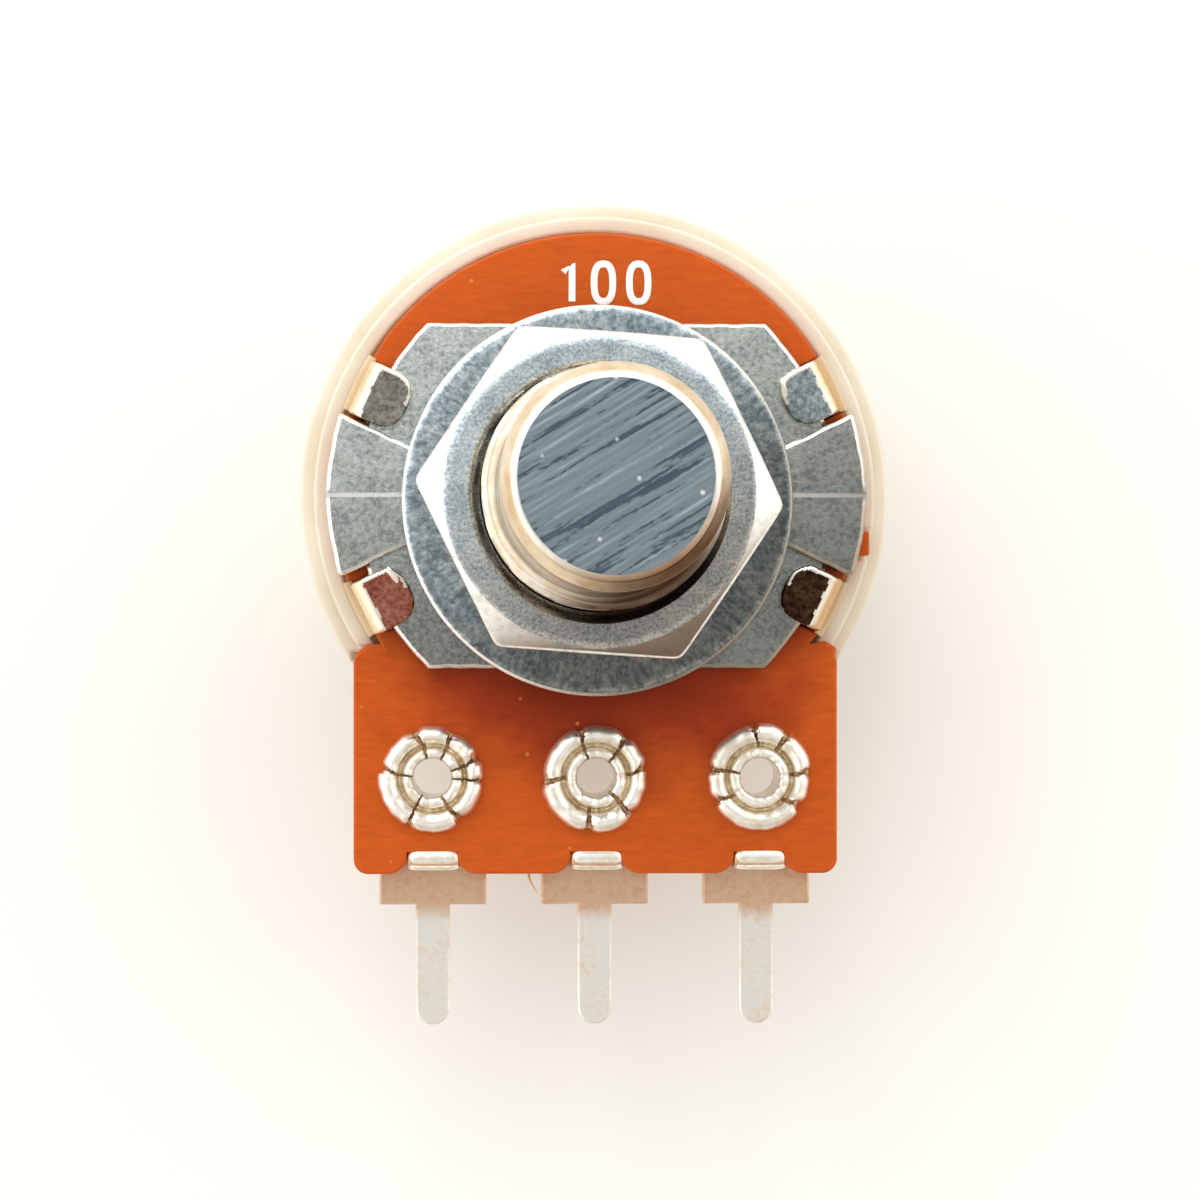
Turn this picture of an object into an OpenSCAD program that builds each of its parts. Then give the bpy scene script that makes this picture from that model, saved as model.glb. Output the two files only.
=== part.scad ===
// Single-turn carbon rotary potentiometer with a threaded bushing and three flat solder pins.
// Frame: the origin is the centre of the flat rear face, +Z runs along the shaft to the knob end
// and the solder pins point to -Y. Lengths are in millimetres, angles in degrees.

/* [Rear cover] */
// Outside diameter of the pressed steel cover
cover_d = 15.7; // [15.3:0.1:18]
// Thickness of the cover's sheet
sheet_t = 0.4; // [0.3:0.05:0.45]
// Height of the cover's skirt, up to the housing's flange
skirt_h = 4.6; // [4.4:0.1:9]
// Radius of the cover's pressed rear edge
cover_edge_r = 0.7; // [0.5:0.05:1]
// Width of each folded claw
claw_w = 1.75; // [1.6:0.05:2.05]
// Angle from the X axis to each claw
claw_angle = 25.5; // [25:0.5:29]
// Reach of a folded claw, from its outer face to its tip
claw_reach = 1.6; // [1.3:0.05:1.7]
// Outer radius of a claw's fold
claw_bend_r = 0.5; // [0.5:0.05:0.6]

/* [Housing] */
// How far the flange stands outside the cover
flange_lip = 1.25; // [1:0.05:1.4]
// Thickness of the flange under the board
flange_t = 1.5; // [1.45:0.05:2]
// Distance from the axis to the flange's flat, which frees the eyelets' rear heads
flange_flat = 7.8; // [7.6:0.1:8.2]
// Wall of the housing's cup
cup_wall = 0.65; // [0.55:0.05:0.8]
// Floor of the housing's cup
cup_floor = 0.5; // [0.4:0.05:0.8]
// Height of the seat rim above the board's back
rim_h = 0.35; // [0.2:0.05:0.6]
// Width of the seat rim
rim_w = 0.45; // [0.3:0.05:0.5]

/* [Resistor board] */
// Thickness of the phenolic board
board_t = 1.1; // [1:0.05:1.6]
// How far the board's round end stands outside the cover
board_lip = 0.2; // [0.1:0.05:0.25]
// Width of the board's square tail
board_w = 14.8; // [14.6:0.1:15.2]
// Length of the tail beyond the row of eyelets
board_tail = 2.95; // [2.8:0.05:3.1]
// Radius of the tail's corners
board_corner_r = 0.45; // [0.3:0.05:0.6]
// Diameter of the board's shaft hole
board_hole_d = 7.5; // [7.4:0.1:7.8]
// Width of the printed resistive track
track_w = 1.1; // [0.8:0.05:1.2]
// Thickness of the printed films
film_t = 0.05; // [0.03:0.01:0.08]
// Angle between the two ends of the resistive track
track_gap = 50; // [48:1:60]
// Width of the collector ring
collector_w = 0.5; // [0.4:0.05:0.6]

/* [Terminals] */
// Pitch of the three terminals
pitch = 5; // [4.9:0.05:5.08]
// Distance from the shaft's axis to the row of eyelets
eyelet_row = 8.6; // [8.6:0.1:9]
// Thickness of the terminal sheet
terminal_t = 0.4; // [0.3:0.05:0.5]
// Width of a terminal's shoulder
shoulder_w = 3.3; // [3:0.05:3.6]
// How far a shoulder stands out below the board
shoulder_len = 1.03; // [0.8:0.05:1.4]
// Width of a solder pin
pin_w = 1.05; // [0.9:0.05:1.2]
// Length of a solder pin below its shoulder
pin_len = 3.72; // [3:0.1:8]
// Width of the lug that folds up into the board's notch
lug_w = 1.5; // [1.3:0.05:1.6]
// Thickness of that lug across its fold
lug_t = 0.62; // [0.45:0.05:0.65]

/* [Eyelets] */
// Outside diameter of an eyelet's barrel
barrel_d = 2; // [1.8:0.05:2.1]
// Through hole of an eyelet
eyelet_hole_d = 1.16; // [1.1:0.02:1.44]
// Outside diameter of the rolled crown
crown_d = 3.2; // [3:0.05:3.3]
// Number of splits in the rolled crown
splits = 5; // [4:1:6]
// Width of a split
split_w = 0.14; // [0.1:0.02:0.2]

/* [Front plate] */
// Thickness of the plate where the claws grip it
plate_t = 0.6; // [0.5:0.05:0.9]
// Height of the plate across its two straight edges
plate_h = 10.5; // [10.3:0.1:10.8]
// Rise of the centre and the wings above the claw seats
boss_h = 0.5; // [0.45:0.05:0.7]
// Diameter of the raised centre
boss_d = 10; // [9.4:0.1:10.2]
// How far the wings stand outside the cover
wing_lip = 0.35; // [0.25:0.05:0.4]
// Gap between a wing's edge and the claw beside it
claw_room = 0.375; // [0.25:0.025:0.5]

/* [Bushing] */
// Outside diameter of the thread
thread_d = 7; // [6.8:0.1:7.1]
// Pitch of the thread
thread_pitch = 0.75; // [0.7:0.05:0.8]
// Depth of the thread
thread_depth = 0.42; // [0.3:0.02:0.46]
// Length of the bushing in front of the mounting face
bushing_len = 7; // [6.5:0.5:10]
// Diameter of the staked base inside the plate
bushing_base_d = 8.6; // [8.4:0.1:8.8]
// Chamfer on the bushing's front end
bushing_chamfer = 0.2; // [0.15:0.05:0.3]

/* [Nut and washer] */
// Width across the nut's flats
nut_af = 9.55; // [9.4:0.05:10.2]
// Thickness of the nut
nut_t = 2; // [1.8:0.1:2.4]
// Diameter of the flat left by the nut's corner chamfer
nut_flat_d = 9.1; // [8.9:0.05:9.4]
// Angle that the nut is turned to
nut_turn = -4; // [-30:1:30]
// Outside diameter of the washer
washer_d = 11.8; // [11:0.1:12.2]
// Gap all round the bushing in the washer's hole
washer_play = 0.25; // [0.2:0.05:0.4]
// Thickness of the washer
washer_t = 0.7; // [0.5:0.05:0.9]
// How far the loose washer hangs below the axis
washer_drop = 0.18; // [0:0.02:0.18]

/* [Shaft] */
// Diameter of the shaft
shaft_d = 6; // [5.8:0.05:6.1]
// Length of the shaft in front of the mounting face
shaft_len = 15; // [13:0.5:30]
// Diameter of the journal that runs in the bushing
journal_d = 5; // [4.6:0.1:5.4]
// Width of the flat saw-cut end face
shaft_face_d = 5.12; // [4.8:0.02:5.4]
// Depth of the groove for the retaining ring
groove_depth = 0.4; // [0.3:0.05:0.5]
// Thickness of the retaining ring
ring_t = 0.5; // [0.4:0.05:0.6]
// Gap all round the retaining ring in the board's hole
ring_room = 0.25; // [0.2:0.05:0.35]

/* [Rotor and wiper] */
// Turning range of the shaft, stop to stop
travel = 300; // [280:1:306]
// Thickness of the rotor's disc
rotor_t = 1.2; // [1:0.05:1.4]
// Diameter of the rotor's hub
hub_d = 6.4; // [6.2:0.1:6.8]
// Diameter of the shaft's keyed rear end
spigot_d = 4.2; // [3.8:0.05:4.4]
// Distance across the flats of the keyed end
spigot_flats = 3.2; // [2.8:0.05:3.4]
// Thickness of the wiper spring
spring_t = 0.2; // [0.15:0.01:0.22]
// Width of a wiper finger
finger_w = 0.5; // [0.3:0.05:0.55]

/* [Clearances] */
// Gap between fitted parts that don't move
fit_gap = 0.1; // [0.05:0.01:0.12]
// Further room for a claw along its slot
claw_play = 0.1; // [0.05:0.01:0.15]
// Gap between a hole and a barrel or base that is set in it
set_gap = 0.03; // [0.02:0.01:0.05]
// Gap all round the journal in the bushing
shaft_gap = 0.04; // [0.02:0.01:0.08]
// Gap between the nut's thread and the bushing's
thread_gap = 0.05; // [0.03:0.01:0.09]
// End play of the shaft
end_play = 0.1; // [0.05:0.01:0.15]
// Gap between the rotor and the housing
rotor_gap = 0.2; // [0.15:0.05:0.3]
// Gap between a wiper finger and its track
contact_gap = 0.02; // [0.01:0.01:0.05]

/* [Hidden] */
$fn = 96;
// overshoot of a cutting tool past the face it cuts
cut = 1;
full_turn = 360;

// heights from the rear face
z_cup = sheet_t;
z_floor = z_cup + cup_floor;
z_board = skirt_h + flange_t;
z_front = z_board + board_t;
z_seat = z_front + plate_t;
z_mount = z_seat + boss_h;
z_washer = z_mount + washer_t;
z_nut = z_washer + nut_t;
z_bushing = z_mount + bushing_len;
z_shaft = z_mount + shaft_len;
z_film = z_board - film_t;
z_terminal = z_film - terminal_t;
head_t = 0.25;
z_head = z_terminal - head_t;
z_recess = z_head - 2 * fit_gap;

// radii that follow the cover
cover_r = cover_d / 2;
skirt_r = cover_r - sheet_t;
cup_r = skirt_r - fit_gap;
cavity_r = cup_r - cup_wall;
flange_r = cover_r + flange_lip;
board_r = cover_r + board_lip;
seat_r = cover_r - claw_bend_r;
wing_r = cover_r + wing_lip;
claws = [claw_angle, full_turn / 2 - claw_angle, full_turn / 2 + claw_angle, full_turn - claw_angle];

// shaft, rotor and wiper
shaft_r = shaft_d / 2;
journal_r = journal_d / 2;
bore_r = journal_r + shaft_gap;
z_shoulder = z_bushing + end_play;
wiper_room = 1.6;
z_rotor = z_board - wiper_room;
z_hub = z_floor + end_play;
hub_bottom = 0.9;
z_spigot = z_hub + hub_bottom;
rotor_r = cavity_r - 0.9;
lug_r = cavity_r - rotor_gap;
stop_r = rotor_r + rotor_gap;
stop_half = (full_turn - travel) / 4;
stop_ease = 0.3;
z_stop = z_rotor - rotor_gap;
track_margin = 0.3;
track_out = cavity_r - track_margin;
track_in = track_out - track_w;
track_mid = (track_out + track_in) / 2;
collector_in = board_hole_d / 2 + 0.15;
collector_out = collector_in + collector_w;
collector_mid = (collector_in + collector_out) / 2;
electrode_sweep = 4;

// board outline
tail_y = -eyelet_row - board_tail;
shoulder_gap = 0.52;
shoulder_y = -(cover_r * sin(claw_angle) + claw_w / 2 * cos(claw_angle) + shoulder_gap);
slot_w = claw_w + 2 * (fit_gap + claw_play);
// angle of the board's tail
tail_angle = -90;
notch_depth = lug_t + fit_gap + 0.07;
notch_top_w = lug_w + 0.2;
notch_flare_r = 0.5;

function eyelet_x(i) = i * pitch;

// A flat ring between two radii and two heights
module tube(r_in, r_out, z_low, z_high) {
    translate([0, 0, z_low])
        difference() {
            cylinder(r = r_out, h = z_high - z_low);
            translate([0, 0, -cut]) cylinder(r = r_in, h = z_high - z_low + 2 * cut);
        }
}

// Part of a ring, from angle a to angle b
module arc_block(r_in, r_out, z_low, z_high, a, b) {
    rotate_extrude(angle = b - a, start = a)
        translate([r_in, z_low]) square([r_out - r_in, z_high - z_low]);
}

// A centred rectangle with round corners
module round_rect(w, h, r) {
    square([w - 2 * r, h], center = true);
    square([w, h - 2 * r], center = true);
    for (x = [-1, 1], y = [-1, 1])
        translate([x * (w / 2 - r), y * (h / 2 - r)]) circle(r = r);
}

// Half-round tongue along +X, from x = from to x = to, w wide
module tongue(from, to, w) {
    translate([from, -w / 2]) square([to - from - w / 2, w]);
    translate([to - w / 2, 0]) circle(d = w);
}

// Pass-throughs for the claws' legs
module leg_slots(z_low, z_high) {
    for (a = claws)
        rotate(a)
            translate([skirt_r - fit_gap, -slot_w / 2, z_low])
                cube([sheet_t + 2 * fit_gap, slot_w, z_high - z_low]);
}

// ---- rear cover ----

// Side view of a leg and its fold: x is the radius and y the height
module claw_profile() {
    inner_bend = claw_bend_r - sheet_t;
    top = z_seat + sheet_t;
    tip = cover_r - claw_reach;
    translate([skirt_r, skirt_h - sheet_t]) square([sheet_t, top - claw_bend_r - skirt_h + sheet_t]);
    translate([cover_r - claw_bend_r, top - claw_bend_r])
        difference() {
            intersection() {
                circle(r = claw_bend_r);
                square(claw_bend_r);
            }
            circle(r = inner_bend);
        }
    translate([tip, z_seat]) square([cover_r - claw_bend_r - tip, sheet_t]);
}

module claw() {
    intersection() {
        translate([0, claw_w / 2, 0]) rotate([90, 0, 0]) linear_extrude(claw_w) claw_profile();
        mirror([1, 0, 0])
            linear_extrude(z_seat + 2 * sheet_t)
                translate([-2 * cover_r, 0]) tongue(0, cover_r + claw_reach, claw_w);
    }
}

module rear_cover() {
    color([0.80, 0.78, 0.74]) {
        difference() {
            rotate_extrude() {
                square([cover_r - cover_edge_r, cover_edge_r]);
                translate([0, cover_edge_r]) square([cover_r, skirt_h - cover_edge_r]);
                translate([cover_r - cover_edge_r, cover_edge_r]) circle(r = cover_edge_r);
            }
            translate([0, 0, sheet_t]) cylinder(r = skirt_r, h = skirt_h);
        }
        for (a = claws) rotate(a) claw();
    }
}

// ---- housing ----

module housing() {
    lug_slot_x = cover_r + board_lip;
    color([0.92, 0.87, 0.78]) {
        difference() {
            union() {
                tube(cavity_r, cup_r, z_cup, z_board);
                translate([0, 0, z_cup]) cylinder(r = cup_r, h = cup_floor);
                tube(cavity_r, flange_r - rim_w, skirt_h, z_board);
                tube(cavity_r, flange_r, skirt_h, z_board - rim_h);
                tube(board_r + fit_gap, flange_r - rim_w, z_board - cut, z_board + rim_h);
            }
            leg_slots(skirt_h - cut, z_front);
            translate([-flange_r, -flange_r - cut, skirt_h - cut])
                cube([2 * flange_r, flange_r - flange_flat + cut, z_front]);
            // pocket for the terminals' rear heads
            translate([-board_w / 2 - fit_gap, tail_y, z_recess])
                cube([board_w + 2 * fit_gap, -tail_y + shoulder_y - fit_gap, z_front]);
            // the seat rim opens for the board's tail
            translate([-board_w / 2 - fit_gap, tail_y, z_board])
                cube([board_w + 2 * fit_gap, -tail_y + shoulder_y + fit_gap, z_front]);
            // and for the board's locating nub
            translate([lug_slot_x - 2 * nub_out, nub_y - nub_w / 2 - fit_gap, z_board])
                cube([4 * nub_out, nub_w + 2 * fit_gap, z_front]);
        }
        arc_block(stop_r, cavity_r + cup_wall / 2, z_floor - cup_floor / 2, z_stop,
                  tail_angle - stop_half, tail_angle + stop_half);
    }
}

// ---- resistor board and its films ----

// locating nub on the board's right edge
nub_w = 0.76;
nub_y = -1.44;
nub_out = 0.4;

// Bell-mouthed notch at the tail's edge, centred on x = 0
module bell_notch() {
    translate([0, tail_y]) {
        translate([-notch_top_w / 2, -cut]) square([notch_top_w, notch_depth + cut]);
        for (s = [-1, 1])
            difference() {
                translate([s * (notch_top_w + notch_flare_r) / 2, notch_flare_r / 2 - cut / 2])
                    square([notch_flare_r, notch_flare_r + cut], center = true);
                translate([s * (notch_top_w / 2 + notch_flare_r), notch_flare_r]) circle(r = notch_flare_r);
            }
    }
}

module board_outline() {
    difference() {
        union() {
            difference() {
                circle(r = board_r);
                for (a = claws)
                    rotate(a)
                        translate([skirt_r - fit_gap, -slot_w / 2])
                            square([2 * cover_r, slot_w]);
                translate([-cover_r, shoulder_y - cover_r]) square([2 * cover_r, cover_r]);
            }
            translate([0, (shoulder_y + tail_y) / 2])
                round_rect(board_w, shoulder_y - tail_y, board_corner_r);
            translate([-cover_r / 2, shoulder_y - board_corner_r]) square([cover_r, 2 * board_corner_r]);
            translate([board_r - nub_out, nub_y - nub_w / 2]) square([2 * nub_out - fit_gap / 2, nub_w]);
        }
        circle(d = board_hole_d);
        for (i = [-1:1]) {
            translate([eyelet_x(i), -eyelet_row]) circle(r = barrel_d / 2 + set_gap);
            translate([eyelet_x(i), 0]) bell_notch();
        }
    }
}

module resistor_board() {
    color([0.80, 0.36, 0.14])
        translate([0, 0, z_board]) linear_extrude(board_t) board_outline();
}

module carbon_track() {
    half_gap = track_gap / 2 + electrode_sweep;
    color([0.12, 0.12, 0.12])
        arc_block(track_in, track_out, z_film, z_board,
                  tail_angle + half_gap, tail_angle + full_turn - half_gap);
}

// Silver pad round an eyelet
module pad() {
    difference() {
        circle(d = crown_d - 2 * fit_gap);
        circle(r = barrel_d / 2 + set_gap);
    }
}

module collector_track() {
    color([0.70, 0.70, 0.68])
        translate([0, 0, z_film])
            linear_extrude(film_t) {
                difference() {
                    circle(r = collector_out);
                    circle(r = collector_in);
                }
                translate([0, -eyelet_row]) pad();
                translate([-collector_w, -eyelet_row + barrel_d / 2 + set_gap])
                    square([2 * collector_w, eyelet_row - barrel_d / 2 - collector_mid]);
            }
}

// Silver end of the resistive track, run out to the eyelet on side s
module electrode(s) {
    a = track_gap / 2 + electrode_sweep / 2;
    from = [s * track_mid * sin(a), -track_mid * cos(a)];
    to = [s * pitch, -eyelet_row];
    run = to - from;
    color([0.70, 0.70, 0.68])
        translate([0, 0, z_film])
            linear_extrude(film_t) {
                translate(to) pad();
                difference() {
                    translate(from)
                        rotate(atan2(run.y, run.x))
                            translate([0, -collector_w]) square([norm(run), 2 * collector_w]);
                    circle(r = track_out);
                    translate(to) circle(r = barrel_d / 2 + set_gap);
                }
                difference() {
                    circle(r = track_out);
                    circle(r = track_in);
                    // keep only the wedge at the end of the track
                    rotate(tail_angle + s * (track_gap / 2)) translate([-cover_r, s > 0 ? -2 * cover_r : 0])
                        square([2 * cover_r, 2 * cover_r]);
                    rotate(tail_angle + s * (track_gap / 2 + electrode_sweep))
                        translate([-cover_r, s > 0 ? 0 : -2 * cover_r]) square([2 * cover_r, 2 * cover_r]);
                }
            }
}

module electrode_left() { electrode(-1); }
module electrode_right() { electrode(1); }

// ---- terminals and eyelets ----

module terminal(i) {
    ring_r = crown_d / 2 + 0.15;
    neck_w = 2.4;
    shoulder_top = tail_y + 0.35;
    shoulder_low = tail_y - shoulder_len;
    lug_y = tail_y + fit_gap;
    color([0.71, 0.66, 0.62])
        translate([eyelet_x(i), 0, 0]) {
            translate([0, 0, z_terminal])
                linear_extrude(terminal_t)
                    difference() {
                        union() {
                            translate([0, -eyelet_row]) circle(r = ring_r);
                            translate([-neck_w / 2, shoulder_top - cut / 2])
                                square([neck_w, -eyelet_row - shoulder_top + cut / 2]);
                            translate([-shoulder_w / 2, shoulder_low])
                                square([shoulder_w, shoulder_top - shoulder_low]);
                            translate([0, shoulder_low + pin_w])
                                rotate(tail_angle) tongue(0, pin_len + pin_w, pin_w);
                        }
                        translate([0, -eyelet_row]) circle(r = barrel_d / 2 + set_gap);
                    }
            // lug folded forward through the notch, round at the fold
            translate([-lug_w / 2, 0, 0]) rotate([90, 0, 90])
                linear_extrude(lug_w) {
                    translate([lug_y, z_terminal]) square([lug_t, z_front - z_terminal - lug_t / 2]);
                    translate([lug_y + lug_t / 2, z_front - lug_t / 2]) circle(d = lug_t);
                }
        }
}

module terminal_left() { terminal(-1); }
module terminal_wiper() { terminal(0); }
module terminal_right() { terminal(1); }

// Eyelet with a flat rear head and a rolled front crown split into petals
module eyelet(i) {
    hole_r = eyelet_hole_d / 2;
    roll_r = (crown_d / 2 - hole_r) / 2;
    crown_mid = hole_r + roll_r;
    roll_h = 1.2 * roll_r;
    first = [17, 63, 38][i + 1];
    color([0.86, 0.84, 0.80])
        translate([eyelet_x(i), -eyelet_row, 0])
            difference() {
                rotate_extrude() {
                    translate([hole_r, z_head])
                        square([barrel_d / 2 - hole_r, z_front + roll_h / 2 - z_head]);
                    translate([hole_r, z_head]) square([crown_d / 2 - fit_gap - hole_r, head_t]);
                    intersection() {
                        translate([crown_mid, z_front + roll_h - roll_r]) circle(r = roll_r);
                        translate([0, z_front]) square([crown_d, crown_d]);
                    }
                }
                for (k = [0:splits - 1])
                    rotate(first + k * full_turn / splits + 9 * sin(140 * k + 50 * i))
                        translate([hole_r + 0.12, -split_w / 2, z_front + roll_h / 3])
                            cube([crown_d, split_w, crown_d]);
            }
}

module eyelet_left() { eyelet(-1); }
module eyelet_wiper() { eyelet(0); }
module eyelet_right() { eyelet(1); }

// ---- front plate and bushing ----

// A wing: its two edges run along the claws beside it and meet on the X axis
module wing_shape(s) {
    apex = (claw_w / 2 + claw_room) / sin(claw_angle);
    far = wing_r + cut;
    spread = (far - apex) * tan(claw_angle);
    intersection() {
        circle(r = wing_r);
        polygon([[s * apex, 0], [s * far, spread], [s * far, -spread]]);
    }
}

module front_plate() {
    score_w = 0.12;
    score_d = 0.06;
    color([0.56, 0.60, 0.61])
        difference() {
            union() {
                translate([0, 0, z_front])
                    linear_extrude(plate_t)
                        intersection() {
                            circle(r = seat_r);
                            square([2 * seat_r, plate_h], center = true);
                        }
                translate([0, 0, z_front])
                    linear_extrude(plate_t + boss_h) {
                        wing_shape(1);
                        wing_shape(-1);
                        circle(d = boss_d);
                    }
            }
            translate([0, 0, z_front - cut])
                cylinder(r = bushing_base_d / 2 + set_gap, h = plate_t + boss_h + 2 * cut);
            // scored centre line of each wing
            for (s = [-1, 1])
                translate([s * (boss_d / 2 + wing_r) / 2, 0, z_mount])
                    cube([wing_r - boss_d / 2 + cut, score_w, 2 * score_d], center = true);
        }
}

// The thread's turns stand as plain rings at its pitch, each groove a V with a flat root
module bushing() {
    thread_r = thread_d / 2;
    root_r = thread_r - thread_depth;
    groove_half = 7 / 16 * thread_pitch;
    root_half = thread_pitch / 8;
    turns = floor((bushing_len - bushing_chamfer) / thread_pitch - 1);
    grooves = [
        for (k = [1:turns], corner = [
            [thread_r, -groove_half], [root_r, -root_half], [root_r, root_half], [thread_r, groove_half]])
            [corner.x, z_mount + k * thread_pitch + corner.y]];
    color([0.72, 0.66, 0.58])
        rotate_extrude()
            polygon(concat(
                [[bore_r, z_front], [bushing_base_d / 2, z_front], [bushing_base_d / 2, z_mount],
                 [thread_r, z_mount]],
                grooves,
                [[thread_r, z_bushing - bushing_chamfer], [thread_r - bushing_chamfer, z_bushing],
                 [bore_r, z_bushing]]));
}

// ---- mounting hardware ----

module mounting_washer() {
    edge = 0.08;
    r_in = thread_d / 2 + washer_play;
    r_out = washer_d / 2;
    color([0.60, 0.64, 0.66])
        translate([0, -washer_drop, z_mount])
            rotate_extrude()
                polygon([
                    [r_in, 0], [r_out - edge, 0], [r_out, edge],
                    [r_out, washer_t - edge], [r_out - edge, washer_t], [r_in, washer_t]]);
}

module mounting_nut() {
    hole_r = thread_d / 2 + thread_gap;
    lead_in = 0.25;
    corner_r = nut_af / sqrt(3);
    flat_r = nut_flat_d / 2;
    drop = (corner_r + cut - flat_r) * tan(30);
    color([0.58, 0.62, 0.63])
        translate([0, 0, z_washer])
            difference() {
                rotate(nut_turn)
                    intersection() {
                        cylinder(r = corner_r, h = nut_t, $fn = 6);
                        rotate_extrude()
                            polygon([
                                [0, 0], [corner_r + cut, 0], [corner_r + cut, nut_t - drop],
                                [flat_r, nut_t], [0, nut_t]]);
                    }
                translate([0, 0, -cut]) cylinder(r = hole_r, h = nut_t + 2 * cut);
                translate([0, 0, nut_t - lead_in])
                    cylinder(r1 = hole_r, r2 = hole_r + 2 * lead_in, h = 2 * lead_in);
                translate([0, 0, -lead_in])
                    cylinder(r1 = hole_r + 2 * lead_in, r2 = hole_r, h = 2 * lead_in);
            }
}

// ---- shaft assembly ----

z_ring = z_front - end_play - ring_t;
groove_r = journal_r - groove_depth;
groove_gap = 0.02;

// The keyed rear end: a round with two flats
module spigot_shape(gap) {
    intersection() {
        circle(r = spigot_d / 2 + gap);
        square([spigot_d + 2 * gap, spigot_flats + 2 * gap], center = true);
    }
}

module shaft() {
    face_r = shaft_face_d / 2;
    ease = (shaft_r - face_r) / 2;
    color([0.62, 0.62, 0.60])
        difference() {
            union() {
                rotate_extrude()
                    polygon([
                        [0, z_rotor], [journal_r, z_rotor], [journal_r, z_shoulder],
                        [shaft_r, z_shoulder], [shaft_r, z_shaft - 2.4 * ease],
                        [shaft_r - 0.6 * ease, z_shaft - 1.1 * ease], [face_r, z_shaft], [0, z_shaft]]);
                translate([0, 0, z_spigot]) linear_extrude(z_rotor - z_spigot + cut / 2) spigot_shape(0);
            }
            tube(groove_r, shaft_d, z_ring - groove_gap, z_ring + ring_t + groove_gap);
        }
}

module retaining_ring() {
    mouth = 50;
    color([0.45, 0.45, 0.47])
        arc_block(groove_r + groove_gap, board_hole_d / 2 - ring_room, z_ring, z_ring + ring_t,
                  tail_angle + mouth / 2, tail_angle + full_turn - mouth / 2);
}

module rotor() {
    color([0.86, 0.82, 0.74])
        difference() {
            union() {
                translate([0, 0, z_rotor - rotor_t]) cylinder(r = rotor_r, h = rotor_t);
                translate([0, 0, z_hub]) cylinder(d = hub_d, h = z_rotor - z_hub);
                arc_block(rotor_r - cut, lug_r, z_rotor - rotor_t, z_rotor,
                          -tail_angle - stop_half + stop_ease, -tail_angle + stop_half - stop_ease);
            }
            translate([0, 0, z_spigot - set_gap]) linear_extrude(z_rotor) spigot_shape(set_gap);
        }
}

// One wiper finger: a flat root, a rising blade and a round contact tip over x = 0
module finger(y) {
    root = 2.2;
    flat_len = 0.6;
    tip_r = 0.3;
    rise = z_film - contact_gap - z_rotor;
    translate([0, y + finger_w / 2, z_rotor])
        rotate([90, 0, 0])
            linear_extrude(finger_w) {
                translate([-root, 0]) square([flat_len, spring_t]);
                polygon([
                    [-root + flat_len - spring_t, 0], [-root + flat_len, 0],
                    [0, rise - tip_r - spring_t / 2], [0, rise - tip_r + spring_t / 2],
                    [-root + flat_len - spring_t, spring_t]]);
                translate([0, rise - tip_r]) circle(r = tip_r);
            }
}

module wiper_spring() {
    inner_r = journal_r + rotor_gap / 2;
    outer_r = collector_out + fit_gap;
    root = 2.2;
    strip = 0.6;
    band_start = 100;
    band_end = 320;
    color([0.78, 0.62, 0.38])
        union() {
            arc_block(inner_r, outer_r, z_rotor, z_rotor + spring_t, band_start, band_end);
            translate([-root, collector_mid - finger_w / 2, z_rotor])
                cube([strip, track_mid - collector_mid + finger_w, spring_t]);
            finger(track_mid);
            finger(collector_mid);
        }
}

rear_cover();
housing();
resistor_board();
carbon_track();
collector_track();
electrode_left();
electrode_right();
terminal_left();
terminal_wiper();
terminal_right();
eyelet_left();
eyelet_wiper();
eyelet_right();
front_plate();
bushing();
mounting_washer();
mounting_nut();
shaft();
retaining_ring();
rotor();
wiper_spring();
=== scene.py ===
"""Looks of a single-turn rotary potentiometer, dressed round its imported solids.

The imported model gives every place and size. Each sub-assembly is a class that keeps its own
sizes in millimetres, builds its surfaces as whole numpy arrays and dresses them in a finish.
"""

import logging
import math
from dataclasses import dataclass, replace
from enum import Enum

import bmesh
import bpy
import numpy as np
from mathutils import Matrix, Vector


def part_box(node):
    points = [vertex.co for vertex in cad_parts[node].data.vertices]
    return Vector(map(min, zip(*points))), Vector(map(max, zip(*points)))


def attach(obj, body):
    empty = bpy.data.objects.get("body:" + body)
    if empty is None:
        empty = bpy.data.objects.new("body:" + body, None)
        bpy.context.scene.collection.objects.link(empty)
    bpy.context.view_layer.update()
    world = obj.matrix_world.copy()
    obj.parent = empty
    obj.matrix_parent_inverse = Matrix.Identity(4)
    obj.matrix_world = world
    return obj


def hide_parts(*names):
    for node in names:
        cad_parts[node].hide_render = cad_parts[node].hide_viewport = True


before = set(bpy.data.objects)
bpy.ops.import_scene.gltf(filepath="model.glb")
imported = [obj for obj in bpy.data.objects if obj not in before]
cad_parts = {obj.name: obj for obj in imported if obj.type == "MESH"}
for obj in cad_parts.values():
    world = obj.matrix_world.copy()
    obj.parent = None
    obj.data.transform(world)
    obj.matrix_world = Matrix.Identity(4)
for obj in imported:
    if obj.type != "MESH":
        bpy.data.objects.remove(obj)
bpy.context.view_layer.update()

MM = 0.001
TURN = 2 * math.pi
# A normal this near to upright marks a level face; edge ends this far apart in height don't lie level.
LEVEL_NORMAL = 0.99999
LEVEL_GAP = 0.01
# Edges steeper than this are rounded; on a sheared outline an upright edge has to be steeper.
STEEP = math.radians(30)
STEEP_UPRIGHT = math.radians(50)
# Where the board and the plate are punched for the claws, and where the claws came to stand.
PUNCHED_ANGLES = (25.5, 154.5, 205.5, 334.5)
CLAW_ANGLES = (25.5, 155.3, 206.2, 334.8)
TERMINAL_PITCH = 5.0
LUG_SHIFT = 0.04
Stop = tuple[float, tuple[float, float, float, float]]
log = logging.getLogger("potentiometer")


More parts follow.
